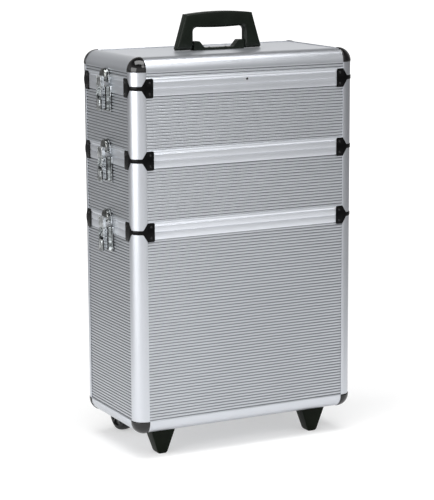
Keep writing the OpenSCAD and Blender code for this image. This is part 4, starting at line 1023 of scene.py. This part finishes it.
zinc = zinc_plating()
for node in ("base_screws", "wheel_axles", "handle_pins"):
    dress(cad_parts[node].data, zinc)

# The pull handle on the back: fixed outer tubes in two moulded brackets, two drawn-out
# stages of satin aluminium tube, and a moulded grip with a release button.
tube_wall = 1.2 * mm
tube_edge = 0.25 * mm
tube_finish = drawn_aluminium("satin_tube", (0.72, 0.73, 0.75), 0.04, 0.28, 900, 0.02 * mm)


def tube_pair(name, node, body):
    """Two open tubes: a ring of outer and inner radius turned about each tube's own axis."""
    low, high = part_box(node)
    y = (low.y + high.y) / 2
    r = (high.y - low.y) / 2
    x = high.x - r
    h = high.z - low.z
    inner = r - tube_wall
    ring = [(inner, 0), (r - tube_edge, 0), (r, tube_edge), (r, h - tube_edge), (r - tube_edge, h),
            (inner, h), (inner, 0)]
    parts = []
    for s in (-1, 1):
        points, faces, uv = turned(ring, np.array([s * x, y, low.z]), up, sides=64, hollow=True)
        parts.append((points, faces, np.c_[uv[:, 0] / mm * r, points[:, 2]]))
    piece(name, parts, tube_finish, body, node)


tube_pair("outer_tube_pair", "pull_outer_tubes", "bottom")
tube_pair("middle_tube_pair", "pull_middle_tubes", "pull_middle")
tube_pair("inner_tube_pair", "pull_inner_tubes", "pull_grip")
grip_black = moulded("grip_black", (0.009, 0.009, 0.0095), 0.42, 800, 0.08 * mm, 0.35)
eased_solid("tube_brackets", "pull_brackets", grip_black, "bottom", 0.8 * mm)
eased_solid("pull_grip_bar", "pull_grip", grip_black, "pull_grip", 0.5 * mm)
eased_solid("release_button", "grip_button", grip_black, "grip_button", 0.5 * mm)

# The studio: a pale floor that stays white behind the case and keeps its shadow, a soft white
# surround, a broad lamp above, a smaller one high in front and a wide, low one at the left.
floor_mesh = bpy.data.meshes.new("studio_floor")
floor_reach = 60.0
floor_corners = [(x, y, 0) for x, y in oblong(-floor_reach, -floor_reach, floor_reach, floor_reach)]
floor_mesh.from_pydata(floor_corners, [], [(0, 1, 2, 3)])
floor = in_scene("studio_floor", floor_mesh)


def seen_directly(add):
    """The kinds of ray, and whether a ray shows the background itself, to the eye or through glass."""
    rays = add("LightPath").outputs
    return rays, result(add, "MAXIMUM", rays["Is Camera Ray"], rays["Is Transmission Ray"])


def part_along(add, place, direction):
    """How far a place lies along a direction."""
    return add("VectorMath", operation="DOT_PRODUCT", i0=place, i1=direction).outputs["Value"]


# In the case's metal the floor glows in a field that is narrowest beside the case and widens to
# its front and its back. The glow fades out at the sides and is strongest far behind the case.
floor_finish, shader, add, place = finish_of("pale_floor", 0.9)
rays, plain = seen_directly(add)
distance = add("VectorMath", operation="LENGTH", i0=place["Object"]).outputs["Value"]
level = ramp(add, distance, 0.6, 3.0, 0.42, 0.95, interpolation_type="SMOOTHSTEP")
shown = result(add, "MULTIPLY", plain, level)
away = part_along(add, place["Object"], (0.4487, 0.8937, 0))
across = result(add, "ABSOLUTE", part_along(add, place["Object"], (0.8937, -0.4487, 0)))
behind = result(add, "MULTIPLY_ADD", away, 0.1155, 0.48)
before = result(add, "MULTIPLY_ADD", away, -0.45, 0.48)
share = result(add, "DIVIDE", across, result(add, "MAXIMUM", behind, before))
mirrored = rays["Is Glossy Ray"]
for value, start, end, first, last in ((share, 1.0, 2.2, 1.0, 0.0), (away, 0.6, 3.0, 0.4, 0.87),
                                       (away, -1.0, -0.5, 0.75, 1.0)):
    level = ramp(add, value, start, end, first, last, interpolation_type="SMOOTHSTEP")
    mirrored = result(add, "MULTIPLY", mirrored, level)
add(shader, Base_Color=(0.6, 0.6, 0.6, 1), Specular_IOR_Level=0.0, Emission_Color=(1, 1, 1, 1),
    Emission_Strength=result(add, "MAXIMUM", shown, mirrored))
floor_mesh.materials.append(floor_finish)

# The surround is white to the camera and 0.4 as strong as a light. In metal it is white too, but
# darker behind the case at the left, at the right, and overhead.
world = bpy.data.worlds.new("soft_surround")
bpy.context.scene.world = world
world.use_nodes = True
add = adder(world.node_tree)
place = add("TexCoord").outputs
rays, plain = seen_directly(add)
mirrored = rays["Is Glossy Ray"]
for direction, start, end, first, last in (((-0.447, 0.894, 0), 0.8, 0.97, 1.0, 0.4),
                                           ((0.94, -0.342, 0), 0.6, 0.95, 1.0, 0.2),
                                           ((0, 0, 1), 0.22, 0.75, 1.0, 0.1)):
    level = ramp(add, part_along(add, place["Generated"], direction), start, end, first, last)
    mirrored = result(add, "MULTIPLY", mirrored, level)
bright = result(add, "MAXIMUM", plain, rays["Is Glossy Ray"])
dim = result(add, "MULTIPLY_ADD", bright, -0.4, 0.4)
seen = result(add, "MAXIMUM", plain, mirrored)
add(world.node_tree.nodes["Background"], Color=(1, 1, 1, 1), Strength=result(add, "MAXIMUM", seen, dim))
lamp_aim = np.array([0, 0, 0.4])


def lamp(name, place, size, power):
    """A rectangular area lamp at place that faces the middle of the case."""
    light = bpy.data.lights.new(name, "AREA")
    light.shape = "RECTANGLE"
    light.size, light.size_y = size
    light.energy = power
    made = in_scene(name, light)
    away = np.asarray(place, float) - lamp_aim
    away /= np.linalg.norm(away)
    side = np.cross(up, away)
    side /= np.linalg.norm(side)
    turn = np.eye(4)
    turn[:3, 0], turn[:3, 1], turn[:3, 2], turn[:3, 3] = side, np.cross(away, side), away, place
    made.matrix_world = Matrix(turn.tolist())


lamp("top_lamp", (-0.25, -0.5, 2.6), (2.5, 1.4), 65)
lamp("front_lamp", (0.4, -2.6, 2.5), (1.2, 1.0), 18)
lamp("side_lamp", (-2.3, -0.65, 0.95), (2.0, 1.3), 34)

# The camera stands where the photographer's did, 3.4 m away in front of the case's left
# corner and a little higher than its handle, and looks slightly down.
camera_place = np.array([-1552.6, -3007.3 + mid_y / mm, 934.0 + base_z / mm]) * mm
yaw, pitch, roll = np.radians([27.261, -10.777, -0.287])
focal_px = 1923.5
frame_px = 500
forward = np.array([math.sin(yaw) * math.cos(pitch), math.cos(yaw) * math.cos(pitch), math.sin(pitch)])
level = np.array([math.cos(yaw), -math.sin(yaw), 0])
rise = np.cross(level, forward)
turn = np.eye(4)
turn[:3, 0] = math.cos(roll) * level + math.sin(roll) * rise
turn[:3, 1] = math.cos(roll) * rise - math.sin(roll) * level
turn[:3, 2] = -forward
turn[:3, 3] = camera_place
camera_data = bpy.data.cameras.new("camera")
camera_data.sensor_width = 36
camera_data.lens = focal_px / frame_px * camera_data.sensor_width
camera = in_scene("camera", camera_data)
camera.matrix_world = Matrix(turn.tolist())
bpy.context.scene.camera = camera
bpy.context.scene.view_settings.view_transform = "Standard"
